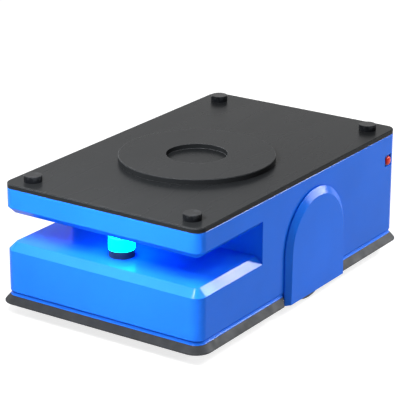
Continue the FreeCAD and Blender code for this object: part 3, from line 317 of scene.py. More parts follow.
@dataclass(frozen=True)
class PowderCoat:
    """Polyester powder baked on steel: fine orange peel, satin, with slight wiping marks."""

    name: str
    colour: str
    worn: str
    roughness: float
    specular: float
    # painted highlight: a paler colour laid on sharp edges so that they seem to catch the light
    painted_edge_highlight: str = "808286"
    wear: float = 0.12
    wipe: float = 90 * MM
    wiped_along: Point = (1.0, 0.25, 1.0)
    uneven: Span = (-0.01, 0.02)
    peel: float = 1.6 * MM
    peel_depth: float = 0.008 * MM
    rounding: float = 1.3 * MM

    def make(self) -> bpy.types.Material:
        """Build peel, faint wiping marks in the gloss, and a painted highlight: a paler colour along sharp
        edges.

        Returns:
            The finished material.
        """
        surface = Surface(self.name)
        worn = surface.clouds(self.wipe, 0.0, self.wear, detail=3.0)
        # the edge mask lays the paler colour on sharp edges as a painted highlight
        colour = surface.coats(linear(self.colour), (worn, linear(self.worn)),
                               (surface.edges(self.rounding), linear(self.painted_edge_highlight)))
        surface.feed("Base Color", colour)
        surface.gloss(self.roughness, self.uneven, self.wipe, detail=3.0,
                      at=surface.moved(stretch=self.wiped_along))
        surface.set(IOR=1.5, Specular_IOR_Level=self.specular)
        peel = add_node(surface.tree, "TexNoise", {"Vector": surface.place, "Scale": 1 / self.peel})
        surface.grain(peel.outputs["Fac"], self.peel_depth, self.rounding)
        return surface.material


@dataclass(frozen=True)
class TurnedPolymer:
    """Hard polyurethane turned on a lathe: glossy, with fine rings round its own axis."""

    name: str
    centre: Point
    colour: str = "1B1D21"
    scuffed: str = "4A4D52"
    scuff: float = 14 * MM
    scuff_cover: float = 0.6
    scuff_levels: Span = (0.5, 0.8)
    specular: float = 0.1
    roughness: float = 0.16
    uneven: Span = (0.0, 0.10)
    gloss_cloud: float = 9 * MM
    ring: float = 3 * math.pi * MM
    ring_depth: float = 0.006 * MM
    rounding: float = 0.7 * MM

    def make(self) -> bpy.types.Material:
        """Build rings drawn 9.4 mm apart, since the real 0.2 mm feed is too fine to show.

        Returns:
            The finished material.
        """
        surface = Surface(self.name)
        around = surface.moved(self.centre)
        waves_a_turn = 20 / math.tau  # at a scale of one, the wave texture makes 20 radians in a unit
        rings = add_node(surface.tree, "TexWave", {"Vector": around, "Scale": 1 / self.ring / waves_a_turn,
                                                   "Distortion": 0.0},
                         wave_type="RINGS", rings_direction="Z", wave_profile="SIN")
        scuffs = surface.clouds(self.scuff, 0.0, self.scuff_cover, detail=5.0, at=around,
                                levels=self.scuff_levels)
        surface.feed("Base Color", surface.coats(linear(self.colour), (scuffs, linear(self.scuffed))))
        surface.gloss(self.roughness, self.uneven, self.gloss_cloud, detail=3.0, at=around)
        surface.set(IOR=1.5, Specular_IOR_Level=self.specular)
        surface.grain(rings.outputs["Fac"], self.ring_depth, self.rounding)
        return surface.material


@dataclass(frozen=True)
class CastMetal:
    """Sand- or die-cast aluminium: bright or anodised, softly pitted, slightly clouded."""

    name: str
    colour: str
    shade: str
    roughness: float = 0.42
    uneven: Span = (-0.07, 0.10)
    cloud: float = 30 * MM
    gloss_cloud: float = 12 * MM
    pit: float = 3.0 * MM
    pit_depth: float = 0.06 * MM
    rounding: float = 0.8 * MM

    def make(self) -> bpy.types.Material:
        """Build a cast skin with clouded colour and open pits.

        Returns:
            The finished material.
        """
        surface = Surface(self.name)
        cloud = surface.clouds(self.cloud, 0.0, 1.0, detail=4.0)
        surface.feed("Base Color", surface.coats(linear(self.colour), (cloud, linear(self.shade))))
        surface.gloss(self.roughness, self.uneven, self.gloss_cloud)
        surface.set(Metallic=1.0)
        pits = add_node(surface.tree, "TexNoise",
                        {"Vector": surface.place, "Scale": 1 / self.pit, "Detail": 4.0})
        surface.grain(pits.outputs["Fac"], self.pit_depth, self.rounding)
        return surface.material


@dataclass(frozen=True)
class DrawnMetal:
    """Ground, drawn or zinc-plated steel: bright, with scratches along its working direction."""

    name: str
    colour: str
    tint: str
    along: Axis
    roughness: float = 0.26
    uneven: Span = (-0.08, 0.14)
    cloud: float = 22 * MM
    scratch: float = 1.2 * MM
    scratch_depth: float = 0.010 * MM
    drawn_out: float = 40.0
    rounding: float = 0.5 * MM

    def make(self) -> bpy.types.Material:
        """Build scratches, as noise drawn out along the working direction, under a slight tint.

        Returns:
            The finished material.
        """
        surface = Surface(self.name)
        drawn = surface.moved(stretch=tuple(1.0 - (1.0 - 1.0 / self.drawn_out) * part
                                            for part in self.along.value))
        tinted = surface.clouds(self.cloud, 0.0, 1.0, detail=3.0)
        surface.feed("Base Color", surface.coats(linear(self.colour), (tinted, linear(self.tint))))
        surface.gloss(self.roughness, self.uneven, self.scratch, detail=3.0, at=drawn)
        surface.set(Metallic=1.0)
        lines = add_node(surface.tree, "TexNoise",
                         {"Vector": drawn, "Scale": 1 / self.scratch, "Detail": 3.0})
        surface.grain(lines.outputs["Fac"], self.scratch_depth, self.rounding)
        return surface.material


@dataclass(frozen=True)
class MouldedPlastic:
    """Injection-moulded ABS: one colour, spark-eroded fine texture, a little uneven in gloss."""

    name: str
    colour: str
    light: str
    roughness: float = 0.5
    specular: float = 0.5
    ior: float = 1.53
    uneven: Span = (-0.05, 0.07)
    cloud: float = 18 * MM
    cloud_cover: float = 0.35
    gloss_cloud: float = 10 * MM
    texture: float = 1.2 * MM
    texture_depth: float = 0.02 * MM
    rounding: float = 0.8 * MM

    def make(self) -> bpy.types.Material:
        """Build the mould's texture, soft gloss clouds and lighter edges.

        Returns:
            The finished material.
        """
        surface = Surface(self.name)
        light = linear(self.light)
        cloud = surface.clouds(self.cloud, 0.0, self.cloud_cover, detail=3.0)
        surface.feed("Base Color", surface.coats(linear(self.colour), (cloud, light),
                                                 (surface.edges(self.rounding), light)))
        surface.gloss(self.roughness, self.uneven, self.gloss_cloud)
        surface.set(IOR=self.ior, Specular_IOR_Level=self.specular)
        texture = add_node(surface.tree, "TexNoise", {"Vector": surface.place, "Scale": 1 / self.texture})
        surface.grain(texture.outputs["Fac"], self.texture_depth, self.rounding)
        return surface.material


@dataclass(frozen=True)
class LitWindow:
    """Dyed polycarbonate lit from inside: an even cyan glow, a shade deeper towards its rims."""

    name: str
    middle: float
    reach: float
    colour: str = "00FFFF"
    rim: str = "00E4F4"
    unlit: str = "00181C"
    strength: float = 9.0
    fade_start: float = 0.5
    ripple: float = 5 * MM
    ripple_cover: float = 0.12
    roughness: float = 0.3
    specular: float = 0.02

    def make(self) -> bpy.types.Material:
        """Build a glow that fades from the middle level over its reach, with a faint ripple.

        Returns:
            The finished material.
        """
        surface = Surface(self.name)
        rim = linear(self.rim)
        level = add_node(surface.tree, "SeparateXYZ", {0: surface.moved((0, 0, self.middle))}).outputs["Z"]
        away = add_node(surface.tree, "Math", {0: level}, operation="ABSOLUTE").outputs[0]
        fade = add_node(surface.tree, "MapRange", {"Value": away, "From Min": self.reach * self.fade_start,
                                                   "From Max": self.reach}).outputs["Result"]
        ripple = surface.clouds(self.ripple, 0.0, self.ripple_cover)
        surface.feed("Emission Color", surface.coats(linear(self.colour), (fade, rim), (ripple, rim)))
        surface.set(Emission_Strength=self.strength, Base_Color=linear(self.unlit), Roughness=self.roughness,
                    Specular_IOR_Level=self.specular)
        return surface.material


@dataclass(frozen=True)
class CastTread:
    """Cast polyurethane tread: dark, scuffed grey where it rolls, finely pebbled."""

    name: str
    centre: Point
    colour: str = "17181A"
    scuffed: str = "3A3B3D"
    scuff: float = 12 * MM
    scuff_cover: float = 0.9
    scuff_levels: Span = (0.42, 0.7)
    roughness: float = 0.55
    uneven: Span = (-0.08, 0.12)
    gloss_cloud: float = 8 * MM
    pebble: float = 1.4 * MM
    pebble_depth: float = 0.05 * MM
    rounding: float = 0.8 * MM

    def make(self) -> bpy.types.Material:
        """Build scuffs and fine pebble, both about the wheel's own centre.

        Returns:
            The finished material.
        """
        surface = Surface(self.name)
        around = surface.moved(self.centre)
        scuffs = surface.clouds(self.scuff, 0.0, self.scuff_cover, detail=5.0, at=around,
                                levels=self.scuff_levels)
        surface.feed("Base Color", surface.coats(linear(self.colour), (scuffs, linear(self.scuffed))))
        surface.gloss(self.roughness, self.uneven, self.gloss_cloud, at=around)
        pebbles = add_node(surface.tree, "TexNoise", {"Vector": around, "Scale": 1 / self.pebble})
        surface.grain(pebbles.outputs["Fac"], self.pebble_depth, self.rounding)
        return surface.material


# ---------------------------------------------------------------- workbench

def start_piece() -> None:
    """Deselect everything, so that an operator acts on the next piece alone."""
    bpy.ops.object.select_all(action="DESELECT")


def round_bar(name: str, centre: Point, radius: float, length: float, along: Axis = Axis.Z,
              corners: int = 48) -> bpy.types.Object:
    """Add a round or many-sided bar at its size and place.

    Args:
        name: the object's name.
        centre: the bar's middle.
        radius: to its corners.
        length: end to end.
        along: the axis that it runs along.
        corners: number of sides.

    Returns:
        The new object, at the origin, with its place in its mesh.
    """
    start_piece()
    quarter = math.pi / 2
    turn = {Axis.X: (0, quarter, 0), Axis.Y: (quarter, 0, 0), Axis.Z: (0, 0, 0)}[along]
    bpy.ops.mesh.primitive_cylinder_add(vertices=corners, radius=radius, depth=length, location=centre,
                                        rotation=turn)
    piece = bpy.context.object
    piece.name = name
    bpy.ops.object.transform_apply(location=True, rotation=True, scale=True)
    return piece


def pick(piece: bpy.types.Object, test: Callable[[Vector, Vector], bool]) -> None:
    """Select, in edit mode, the faces that pass a test, and no others.

    Args:
        piece: the piece being edited.
        test: says of a face's middle and its normal whether it is wanted.
    """
    mesh = bmesh.from_edit_mesh(piece.data)
    mesh.faces.ensure_lookup_table()
    for face in mesh.faces:
        face.select_set(False)
    for face in mesh.faces:
        if test(face.calc_center_median(), face.normal):
            face.select_set(True)
    bmesh.update_edit_mesh(piece.data)


def edit(piece: bpy.types.Object) -> None:
    """Go into edit mode on one piece, picking faces.

    Args:
        piece: the piece to edit.
    """
    start_piece()
    piece.select_set(True)
    bpy.context.view_layer.objects.active = piece
    bpy.ops.object.mode_set(mode="EDIT")
    bpy.ops.mesh.select_mode(type="FACE")


def cut(centre: Vector, x: float) -> None:
    """Cut the piece being edited all the way round, square to the X axis.

    Args:
        centre: a point on the piece's axis.
        x: where the cut goes.
    """
    bpy.ops.mesh.select_all(action="SELECT")
    bpy.ops.mesh.bisect(plane_co=(x, centre.y, centre.z), plane_no=(1, 0, 0))


def close_edit(piece: bpy.types.Object, bevel: float, smooth: float = 32.0, broken: float = 35.0
               ) -> bpy.types.Object:
    """Leave edit mode, merge doubles, face outwards, break the edges and smooth the round faces.

    Args:
        piece: the piece being edited.
        bevel: width of the broken edges.
        smooth: faces that meet at less than this angle, in degrees, look as one.
        broken: edges whose faces turn by more than this angle, in degrees, are broken.

    Returns:
        The finished piece.
    """
    bpy.ops.mesh.select_all(action="SELECT")
    bpy.ops.mesh.remove_doubles(threshold=0.001 * MM)
    bpy.ops.mesh.normals_make_consistent(inside=False)
    bpy.ops.object.mode_set(mode="OBJECT")
    modifier = piece.modifiers.new("broken_edges", "BEVEL")
    modifier.width, modifier.segments, modifier.angle_limit = bevel, 2, math.radians(broken)
    bpy.ops.object.modifier_apply(modifier=modifier.name)
    bpy.ops.object.shade_smooth_by_angle(angle=math.radians(smooth))
    return piece


def copies(model: bpy.types.Object, names: Sequence[str], places: Sequence[Matrix]) -> list[bpy.types.Object]:
    """Copy a modelled piece, each copy with its own mesh moved to its own place; the model goes.

    Args:
        model: the piece that was modelled once.
        names: a name for each copy.
        places: a matrix for each copy.

    Returns:
        The copies, in order.
    """
    made = []
    for name, place in zip(names, places):
        mesh = model.data.copy()
        mesh.transform(place)
        piece = bpy.data.objects.new(name, mesh)
        bpy.context.scene.collection.objects.link(piece)
        made.append(piece)
    bpy.data.objects.remove(model)
    return made


def paint(material: bpy.types.Material, *nodes: str) -> None:
    """Give CAD nodes a finish through their material slots.

    Args:
        material: the finish.
        nodes: the nodes' names.
    """
    for name in nodes:
        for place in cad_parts[name].material_slots:
            place.material = material


def mount(piece: bpy.types.Object, body: str, material: bpy.types.Material) -> None:
    """Fix a new piece on a body.

    Args:
        piece: the finished piece.
        body: the CAD body that it moves with.
        material: its finish.
    """
    piece.data.materials.clear()
    piece.data.materials.append(material)
    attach(piece, body)
    log.info("%s rides on %s", piece.name, body)


def box_of(node: str) -> tuple[Vector, Vector]:
    """Give the lowest and the highest corner of a CAD node's box."""
    low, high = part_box(node)
    return Vector(low), Vector(high)


def middle(node: str) -> Vector:
    """Give the middle of a CAD node's box."""
    low, high = box_of(node)
    return (low + high) / 2


def side_end(node: str, axis: int, sign: int) -> float:
    """Give how far a CAD node reaches along one axis, on its low (-1) or high (1) end."""
    low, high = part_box(node)
    return (high if sign > 0 else low)[axis]


def facing(target: Point, outward: Point) -> Matrix:
    """Give the matrix that seats a piece modelled along +Z at a point, turned to a direction."""
    turn = Vector((0, 0, 1)).rotation_difference(Vector(outward)).to_matrix().to_4x4()
    return Matrix.Translation(Vector(target)) @ turn


# ---------------------------------------------------------------- shared finishes and fasteners

ENAMEL = SprayedEnamel().make()
ZINC = DrawnMetal("steel_zinc_plated", "B9BDC2", "A8A79C", Axis.Z, roughness=0.34).make()
FRAME_PAINT = PowderCoat("powder_coat_frame_grey", "2B2D30", "4A4D50", roughness=0.42, specular=0.4).make()
MOTOR_PAINT = PowderCoat("stoved_enamel_motor_black", "1A1B1D", "3A3C3F", roughness=0.36, specular=0.5).make()


@dataclass
class ButtonScrew:
    """Button-head socket screw, seen from its head; the thread is inside what it holds.

    The shares are parts of the head's height.
    """

    radius: float = 5.5 * MM
    height: float = 3.0 * MM
    socket: float = 2.4 * MM
    socket_share: float = 0.6
    dome_share: float = 0.32
    corners: int = 24

    def model(self) -> bpy.types.Object:
        """Model one head about the origin, its seat at z = 0 and its dome along +Z.

        Returns:
            The head.
        """
        head = round_bar("button_head", (0, 0, self.height / 2), self.radius, self.height,
                         corners=self.corners)
        edit(head)
        pick(head, lambda place, normal: normal.z > FACING)
        bpy.ops.mesh.inset(thickness=self.radius - self.socket)
        sunk = -self.height * self.socket_share
        bpy.ops.mesh.extrude_region_move(TRANSFORM_OT_translate={"value": (0, 0, sunk)})
        return close_edit(head, bevel=self.height * self.dome_share, smooth=50)


@dataclass
class HexNut:
    """Hexagon nut with chamfered corners and its bolt's end standing a little proud.

    The insets are parts of the width across corners, and the other shares parts of the height.
    """

    across_corners: float
    height: float
    hexagon_share: float = 0.8
    chamfer_inset: float = 0.06
    chamfer_share: float = 0.05
    bolt_inset: float = 0.15
    bolt_share: float = 0.15
    bevel_share: float = 0.05

    def model(self) -> bpy.types.Object:
        """Model one nut about the origin, its seat at z = 0, rising along +Z.

        Returns:
            The nut.
        """
        tall = self.height * self.hexagon_share
        nut = round_bar("hex_nut", (0, 0, tall / 2), self.across_corners / 2, tall, corners=6)
        edit(nut)
        pick(nut, lambda place, normal: normal.z > FACING)
        for inset, share in ((self.chamfer_inset, self.chamfer_share), (self.bolt_inset, self.bolt_share)):
            bpy.ops.mesh.inset(thickness=self.across_corners * inset)
            bpy.ops.mesh.extrude_region_move(TRANSFORM_OT_translate={"value": (0, 0, self.height * share)})
        return close_edit(nut, bevel=self.height * self.bevel_share)


# ---------------------------------------------------------------- sub-assemblies

@dataclass
class BodySides:
    """The painted shell, its trims and their frames, the wheel covers and the button's socket."""

    def dress(self) -> None:
        """Spray everything in the body colour."""
        paint(ENAMEL, "body_shell", "front_trim", "rear_trim", "front_frame", "rear_frame",
              "wheel_cover_left", "wheel_cover_right", "button_socket")


@dataclass
class LowerEdge:
    """Rubber bumpers and the floor pan with its fixing screws."""

    screw_inset: float = 24 * MM
    screw_pitch: float = 150 * MM
    end_room: float = 280 * MM
    side_rows: tuple[float, ...] = (-300 * MM, -200 * MM, 250 * MM)
    wheel_column: float = 190 * MM
    wheel_rows: tuple[float, ...] = (-30 * MM, 130 * MM)

    def build(self) -> None:
        """Drive button-head screws along the floor's edges and beside the wheels, from below."""
        low, high = box_of("floor_pan")
        places = []
        count = round((high.x - low.x - self.end_room) / self.screw_pitch)
        for y in (low.y + self.screw_inset, high.y - self.screw_inset):
            places += [(self.screw_pitch * (index - (count - 1) / 2), y) for index in range(count)]
        for side in SIDES.values():
            x = (low.x if side < 0 else high.x) - side * self.screw_inset
            places += [(x, y) for y in self.side_rows]
            places += [(side * self.wheel_column, y) for y in self.wheel_rows]
        names = [f"floor_screw_{index:02d}" for index in range(len(places))]
        seats = [facing((x, y, low.z), DOWN) for x, y in places]
        for screw in copies(ButtonScrew().model(), names, seats):
            mount(screw, "chassis", ZINC)

    def dress(self) -> None:
        """Give the bumpers their rubber and the floor pan its powder coat."""
        rubber = MouldedRubber("rubber_moulded_bumper", "191C1F", "2B2E32").make()
        paint(rubber, "front_bumper", "rear_bumper")
        paint(FRAME_PAINT, "floor_pan")


@dataclass
class LoadDeck:
    """Top plate, turntable disc and the four load pads."""

    def dress(self) -> None:
        """Powder-coat the plate and the disc, and turn each pad about its own axis."""
        satin = PowderCoat("powder_coat_satin_black", "282A2C", "36383B", roughness=0.27, specular=0.05)
        paint(satin.make(), "top_plate", "turntable_disc")
        for corner in CORNERS:
            node = f"load_pad_{corner}"
            paint(TurnedPolymer(f"polyurethane_turned_{corner}", tuple(middle(node))).make(), node)


@dataclass
class DriveWheel:
    """One drive wheel with its tread, hub nut, bracket and gear motor."""

    side: str
    groove_depth: float = 3 * MM
    groove_width: float = 4 * MM
    grooves: int = 3
    steps: int = 120
    edge_bevel: float = 1.2 * MM
    nut_corners: float = 30 * MM
    nut_height: float = 10 * MM
    nut_seat: float = 5 * MM

    def build_tread(self) -> None:
        """Model the tread as a ring: cap faces opened to the rim, grooves sunk between cuts."""
        node, rim = f"drive_tyre_{self.side}", f"drive_rim_{self.side}"
        low, high = box_of(node)
        centre, radius, width = (low + high) / 2, (high.z - low.z) / 2, high.x - low.x
        inside = (side_end(rim, 2, 1) - side_end(rim, 2, -1)) / 2
        ring = round_bar(f"drive_tread_{self.side}", tuple(centre), radius, width, Axis.X, self.steps)
        edit(ring)
        pitch, half = width / (self.grooves + 1), self.groove_width / 2
        middles = [centre.x + pitch * (index - (self.grooves - 1) / 2) for index in range(self.grooves)]
        for x in middles:
            cut(centre, x - half)
            cut(centre, x + half)
        pick(ring, lambda place, normal: abs(normal.x) < ROUND
             and any(abs(place.x - x) < half for x in middles))
        bpy.ops.mesh.extrude_region_shrink_fatten(TRANSFORM_OT_shrink_fatten={"value": -self.groove_depth})
        pick(ring, lambda place, normal: abs(normal.x) > FACING
             and math.isclose(abs(place.x - centre.x), width / 2, abs_tol=0.01 * MM))
        bpy.ops.mesh.inset(thickness=radius - inside)
        bpy.ops.mesh.bridge_edge_loops()
        close_edit(ring, bevel=self.edge_bevel)
        tread = CastTread(f"polyurethane_tread_{self.side}", tuple(centre)).make()
        mount(ring, f"drive_wheel_{self.side}", tread)
        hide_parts(node)
        paint(tread, node)

    def build_nut(self) -> None:
        """Seat the axle nut in the outer face of the hub."""
        sign, node = SIDES[self.side], f"drive_tyre_{self.side}"
        hub = middle(node)
        seat = facing((side_end(node, 0, sign) - sign * self.nut_seat, hub.y, hub.z), (sign, 0, 0))
        nut = HexNut(self.nut_corners, self.nut_height).model()
        for piece in copies(nut, [f"drive_axle_nut_{self.side}"], [seat]):
            mount(piece, f"drive_wheel_{self.side}", ZINC)

    def dress(self) -> None:
        """Give the rim its cast skin and the inner units their paint."""
        cast = CastMetal(f"aluminium_cast_rim_{self.side}", "B4B7BA", "9A9EA2").make()
        paint(cast, f"drive_rim_{self.side}")
        paint(FRAME_PAINT, f"drive_bracket_{self.side}")
        paint(MOTOR_PAINT, f"drive_motor_{self.side}")


@dataclass
class Caster:
    """One swivel caster with hexagon heads on its axle bolt and screws in its top plate."""

    corner: str
    bolt_head: float = 4 * MM
    head_to_shank: float = 1.7
    bolt_bevel: float = 0.5 * MM
    screws: int = 4
    screw_circle: float = 31 * MM
    screw_seat: float = 5 * MM

    def build_bolt(self) -> None:
        """Model the axle bolt: a hexagon bar, drawn in to a shank between its two heads."""
        node = f"caster_axle_{self.corner}"
        low, high = box_of(node)
        centre, length, radius = (low + high) / 2, high.x - low.x, (high.z - low.z) / 2
        bolt = round_bar(f"caster_bolt_{self.corner}", tuple(centre), radius, length, Axis.X, 6)
        edit(bolt)
        for side in (-1, 1):
            cut(centre, centre.x + side * (length / 2 - self.bolt_head))
        pick(bolt, lambda place, normal: abs(normal.x) < ROUND and abs(place.x - centre.x) < length / 4)
        drawn_in = radius * math.cos(math.pi / 6) - radius / self.head_to_shank
        bpy.ops.mesh.extrude_region_shrink_fatten(TRANSFORM_OT_shrink_fatten={"value": -drawn_in})
        close_edit(bolt, bevel=self.bolt_bevel)
        mount(bolt, f"caster_swivel_{self.corner}", ZINC)
        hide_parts(node)
        paint(ZINC, node)

    def build_screws(self) -> None:
        """Seat the screws of the top plate on their circle, from below."""
        plate = middle(f"caster_mount_{self.corner}")
        level = side_end(f"caster_mount_{self.corner}", 2, 1) - self.screw_seat
        places = []
        for index in range(self.screws):
            turn = math.tau * (index + 0.5) / self.screws
            x = plate.x + self.screw_circle * math.cos(turn)
            y = plate.y + self.screw_circle * math.sin(turn)
            places.append(facing((x, y, level), DOWN))
        names = [f"caster_screw_{self.corner}_{index}" for index in range(self.screws)]
        head = ButtonScrew(radius=4 * MM, height=2.2 * MM, socket=1.8 * MM)
        for screw in copies(head.model(), names, places):
            mount(screw, "chassis", ZINC)

    def dress(self) -> None:
        """Zinc-plate the steel and cast the wheel in grey polyurethane."""
        paint(ZINC, f"caster_mount_{self.corner}", f"caster_fork_{self.corner}")
        wheel = f"caster_wheel_{self.corner}"
        grey = CastTread(f"polyurethane_wheel_{self.corner}", tuple(middle(wheel)), "3B3D40", "595B5E")
        paint(grey.make(), wheel)


@dataclass
class LiftDrive:
    """Screw lift, its guide posts, and the geared turntable on its carriage."""

    def dress(self) -> None:
        """Give each machine part the metal that it is made of."""
        ground = DrawnMetal("steel_ground_shaft", "C3C6C9", "A9ADB1", Axis.Z, roughness=0.2).make()
        turned_steel = DrawnMetal("steel_turned_ring", "B5B8BB", "8F9397", Axis.X, roughness=0.3).make()
        paint(ground, "guide_posts", "lift_screw")
        paint(turned_steel, "turntable_bearing", "turntable_pinion", "turntable_spindle")
        paint(CastMetal("aluminium_cast_carriage", "A9ACB0", "8D9195").make(), "lift_carriage")
        paint(MOTOR_PAINT, "lift_motor", "turntable_motor")


@dataclass
class Scanner:
    """Laser scanner: dark housing and head, lit window and cap, dark seal between them."""

    def dress(self) -> None:
        """Light the window and the cap, and mould the rest in dark plastic."""
        dark = MouldedPlastic("abs_moulded_scanner", "20303C", "344652", roughness=0.32).make()
        paint(dark, "scanner_base", "scanner_seal", "scanner_head")
        for part in ("window", "cap"):
            low, high = box_of(f"scanner_{part}")
            lit = LitWindow(f"polycarbonate_lit_{part}", (low.z + high.z) / 2, (high.z - low.z) / 2)
            paint(lit.make(), f"scanner_{part}")


@dataclass
class StopButton:
    """Red push button with a dark collar round it in its square socket."""

    pocket_depth: float = 6 * MM
    collar_gap: float = 0.8 * MM
    collar_width: float = 2.2 * MM
    collar_height: float = 1.6 * MM
    collar_bevel: float = 0.4 * MM
    corners: int = 64

    def build(self) -> None:
        """Model the collar as a flat ring on the pocket's floor."""
        low, high = box_of("stop_button")
        centre, radius = (low + high) / 2, (high.z - low.z) / 2
        floor = side_end("button_socket", 0, 1) - self.pocket_depth
        outside = radius + self.collar_gap + self.collar_width
        ring = round_bar("stop_button_collar", (floor + self.collar_height / 2, centre.y, centre.z),
                         outside, self.collar_height, Axis.X, self.corners)
        edit(ring)
        pick(ring, lambda place, normal: abs(normal.x) > FACING)
        bpy.ops.mesh.inset(thickness=self.collar_width)
        bpy.ops.mesh.bridge_edge_loops()
        close_edit(ring, bevel=self.collar_bevel)
        dark = MouldedPlastic("abs_moulded_collar", "141518", "2B2D31").make()
        mount(ring, "chassis", dark)

    def dress(self) -> None:
        """Mould the button in glossy red."""
        red = MouldedPlastic("abs_moulded_signal_red", "D02818", "DA3828", roughness=0.2, specular=0.15,
                             texture_depth=0.004 * MM)
        paint(red.make(), "stop_button")


@dataclass
class InnerUnits:
    """Battery pack and drive controller."""

    def dress(self) -> None:
        """Mould the battery's case and anodise the controller's cast box."""
        case = MouldedPlastic("abs_moulded_battery", "2A2B2E", "404246", roughness=0.55).make()
        anodised = CastMetal("aluminium_anodised_dark", "3B3E43", "2B2E32", roughness=0.38).make()
        paint(case, "battery_pack")
        paint(anodised, "drive_controller")


# ---------------------------------------------------------------- studio and camera

@dataclass
class Lamp:
    """One soft rectangular studio lamp, aimed at a point, which may be flagged off some CAD nodes."""

    name: str
    place: Point
    aim: Point
    width: float
    height: float
    watts: float
    roll: float = 0.0
    flagged: Sequence[str] = ()

    def flag(self, lamp: bpy.types.Object) -> None:
        """Keep the light off the flagged nodes, which would mirror the lamp in other views.

        Args:
            lamp: the lamp that was hung.
        """
        shaded = bpy.data.collections.new(f"{self.name}_flagged")
        for name in self.flagged:
            shaded.objects.link(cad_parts[name])
        for entry in shaded.collection_objects:
            entry.light_linking.link_state = "EXCLUDE"
        lamp.light_linking.receiver_collection = shaded

    def build(self) -> None:
        """Hang the lamp, turn it to its aim and roll it about its own axis."""
        data = bpy.data.lights.new(self.name, "AREA")
        data.shape, data.size, data.size_y, data.energy = "RECTANGLE", self.width, self.height, self.watts
        lamp = bpy.data.objects.new(self.name, data)
        bpy.context.scene.collection.objects.link(lamp)
        lamp.visible_camera = False
        place = Vector(self.place)
        aimed = (Vector(self.aim) - place).to_track_quat("-Z", "Y").to_matrix().to_4x4()
        rolled = aimed @ Matrix.Rotation(math.radians(self.roll), 4, "Z")
        lamp.matrix_world = Matrix.Translation(place) @ rolled
        if self.flagged:
            self.flag(lamp)


BLACK_TOP = ("top_plate", "turntable_disc", *(f"load_pad_{corner}" for corner in CORNERS))

LAMPS = (
    Lamp("key_front", (0.13, -1.12, 1.18), (0, -0.5, 0.33), width=0.36, height=0.5, watts=19.0),
    Lamp("rim_high", (2.68, 5.15, 3.85), (0.3, -0.2, 0.2), width=1.3, height=1.2, watts=260.0,
         flagged=BLACK_TOP),
    Lamp("rim_low", (4.42, 5.47, 2.0), (0.3, 0, 0.3), width=4.9, height=0.5, watts=220.0, roll=-20.0,
         flagged=(*BLACK_TOP, "body_shell")),
    Lamp("side_right", (2.5, 0.6, 2.9), (0.3, 0, 0.25), width=1.4, height=1.2, watts=37.0,
         flagged=(*BLACK_TOP, "wheel_cover_left", "wheel_cover_right")),
    Lamp("fill_left", (-3.3, -1.5, 1.3), (-0.3, 0, 0.2), width=1.8, height=1.4, watts=35.0),
    Lamp("fill_high_left", (-1.3, -1.3, 2.2), (0, -0.5, 0.2), width=1.1, height=1.1, watts=10.0),
)


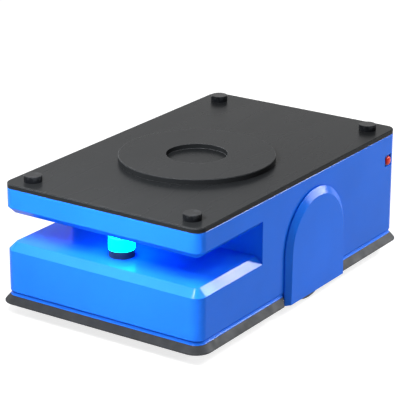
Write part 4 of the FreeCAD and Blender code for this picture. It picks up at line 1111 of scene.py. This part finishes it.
@dataclass
class Studio:
    """Pale floor and surroundings with plain soft light."""

    reach: float = 14.0
    ambient: float = 0.14
    floor_colour: str = "B4B4B4"
    floor_lift: float = 0.78
    white: Colour = (1.0, 1.0, 1.0, 1.0)

    def seen(self, tree: bpy.types.NodeTree) -> Socket:
        """Tell the rays that see the surroundings from those that only carry light.

        Args:
            tree: the node tree to add to.

        Returns:
            The socket that is one for camera, glossy and transmission rays and zero for the rest.
        """
        path = add_node(tree, "LightPath")
        seen = path.outputs["Is Camera Ray"]
        for kind in ("Is Glossy Ray", "Is Transmission Ray"):
            seen = add_node(tree, "Math", {0: seen, 1: path.outputs[kind]}, operation="MAXIMUM").outputs[0]
        return seen

    def build_world(self) -> None:
        """Light from all round at the ambient level; white where it is seen."""
        world = bpy.data.worlds.new("studio")
        bpy.context.scene.world = world
        world.use_nodes = True
        tree = world.node_tree
        tree.nodes.clear()
        level = add_node(tree, "MapRange", {"Value": self.seen(tree), "To Min": self.ambient, "To Max": 1.0})
        back = add_node(tree, "Background", {"Color": self.white, "Strength": level.outputs[0]})
        add_node(tree, "OutputWorld", {"Surface": back.outputs[0]})

    def build_floor(self) -> None:
        """Lay a pale floor that looks white where it is lit and keeps the robot's shadow."""
        start_piece()
        bpy.ops.mesh.primitive_plane_add(size=self.reach, location=(0, 0, 0))
        floor = bpy.context.object
        floor.name = "studio_floor"
        material = bpy.data.materials.new("floor_paper_matt")
        material.use_nodes = True
        tree = material.node_tree
        tree.nodes.clear()
        matt = add_node(tree, "BsdfDiffuse", {"Color": linear(self.floor_colour)})
        lift = add_node(tree, "Math", {0: self.seen(tree), 1: self.floor_lift}, operation="MULTIPLY")
        glow = add_node(tree, "Emission", {"Color": self.white, "Strength": lift.outputs[0]})
        both = add_node(tree, "AddShader", {0: matt.outputs[0], 1: glow.outputs[0]})
        add_node(tree, "OutputMaterial", {"Surface": both.outputs[0]})
        floor.data.materials.append(material)

    def build(self) -> None:
        """Set up the surroundings, the floor and the lamps."""
        self.build_world()
        self.build_floor()
        for lamp in LAMPS:
            lamp.build()


@dataclass
class ViewPoint:
    """The camera, by its place, its angles in degrees and its lens in millimetres."""

    place: Point = (2.721, -4.054, 2.003)
    azimuth: float = 34.13
    elevation: float = 19.91
    roll: float = 0.09
    lens: float = 170.0
    sensor: float = 36.0
    clip_end: float = 100.0

    def build(self) -> None:
        """Create the camera and make it the scene's own."""
        data = bpy.data.cameras.new("camera")
        data.lens, data.sensor_width, data.sensor_fit = self.lens, self.sensor, "HORIZONTAL"
        data.clip_end = self.clip_end
        camera = bpy.data.objects.new("camera", data)
        bpy.context.scene.collection.objects.link(camera)
        turn, tilt = math.radians(self.azimuth), math.radians(self.elevation)
        right = Vector((math.cos(turn), math.sin(turn), 0))
        back = Vector((math.sin(turn) * math.cos(tilt), -math.cos(turn) * math.cos(tilt), math.sin(tilt)))
        axes = Matrix((right, back.cross(right), back)).transposed().to_4x4()
        roll = Matrix.Rotation(math.radians(self.roll), 4, "Z")
        camera.matrix_world = Matrix.Translation(Vector(self.place)) @ axes @ roll
        bpy.context.scene.camera = camera


def main() -> None:
    """Build and dress the robot's sub-assemblies in order, then the studio and the camera."""
    logging.basicConfig(level=logging.INFO, format="%(name)s: %(message)s")
    bpy.context.scene.view_settings.view_transform = "Standard"
    BodySides().dress()
    edge = LowerEdge()
    edge.build()
    edge.dress()
    LoadDeck().dress()
    for side in SIDES:
        wheel = DriveWheel(side)
        wheel.build_tread()
        wheel.build_nut()
        wheel.dress()
    for corner in CORNERS:
        caster = Caster(corner)
        caster.build_bolt()
        caster.build_screws()
        caster.dress()
    LiftDrive().dress()
    Scanner().dress()
    button = StopButton()
    button.build()
    button.dress()
    InnerUnits().dress()
    Studio().build()
    ViewPoint().build()


if __name__ == "__main__":
    main()
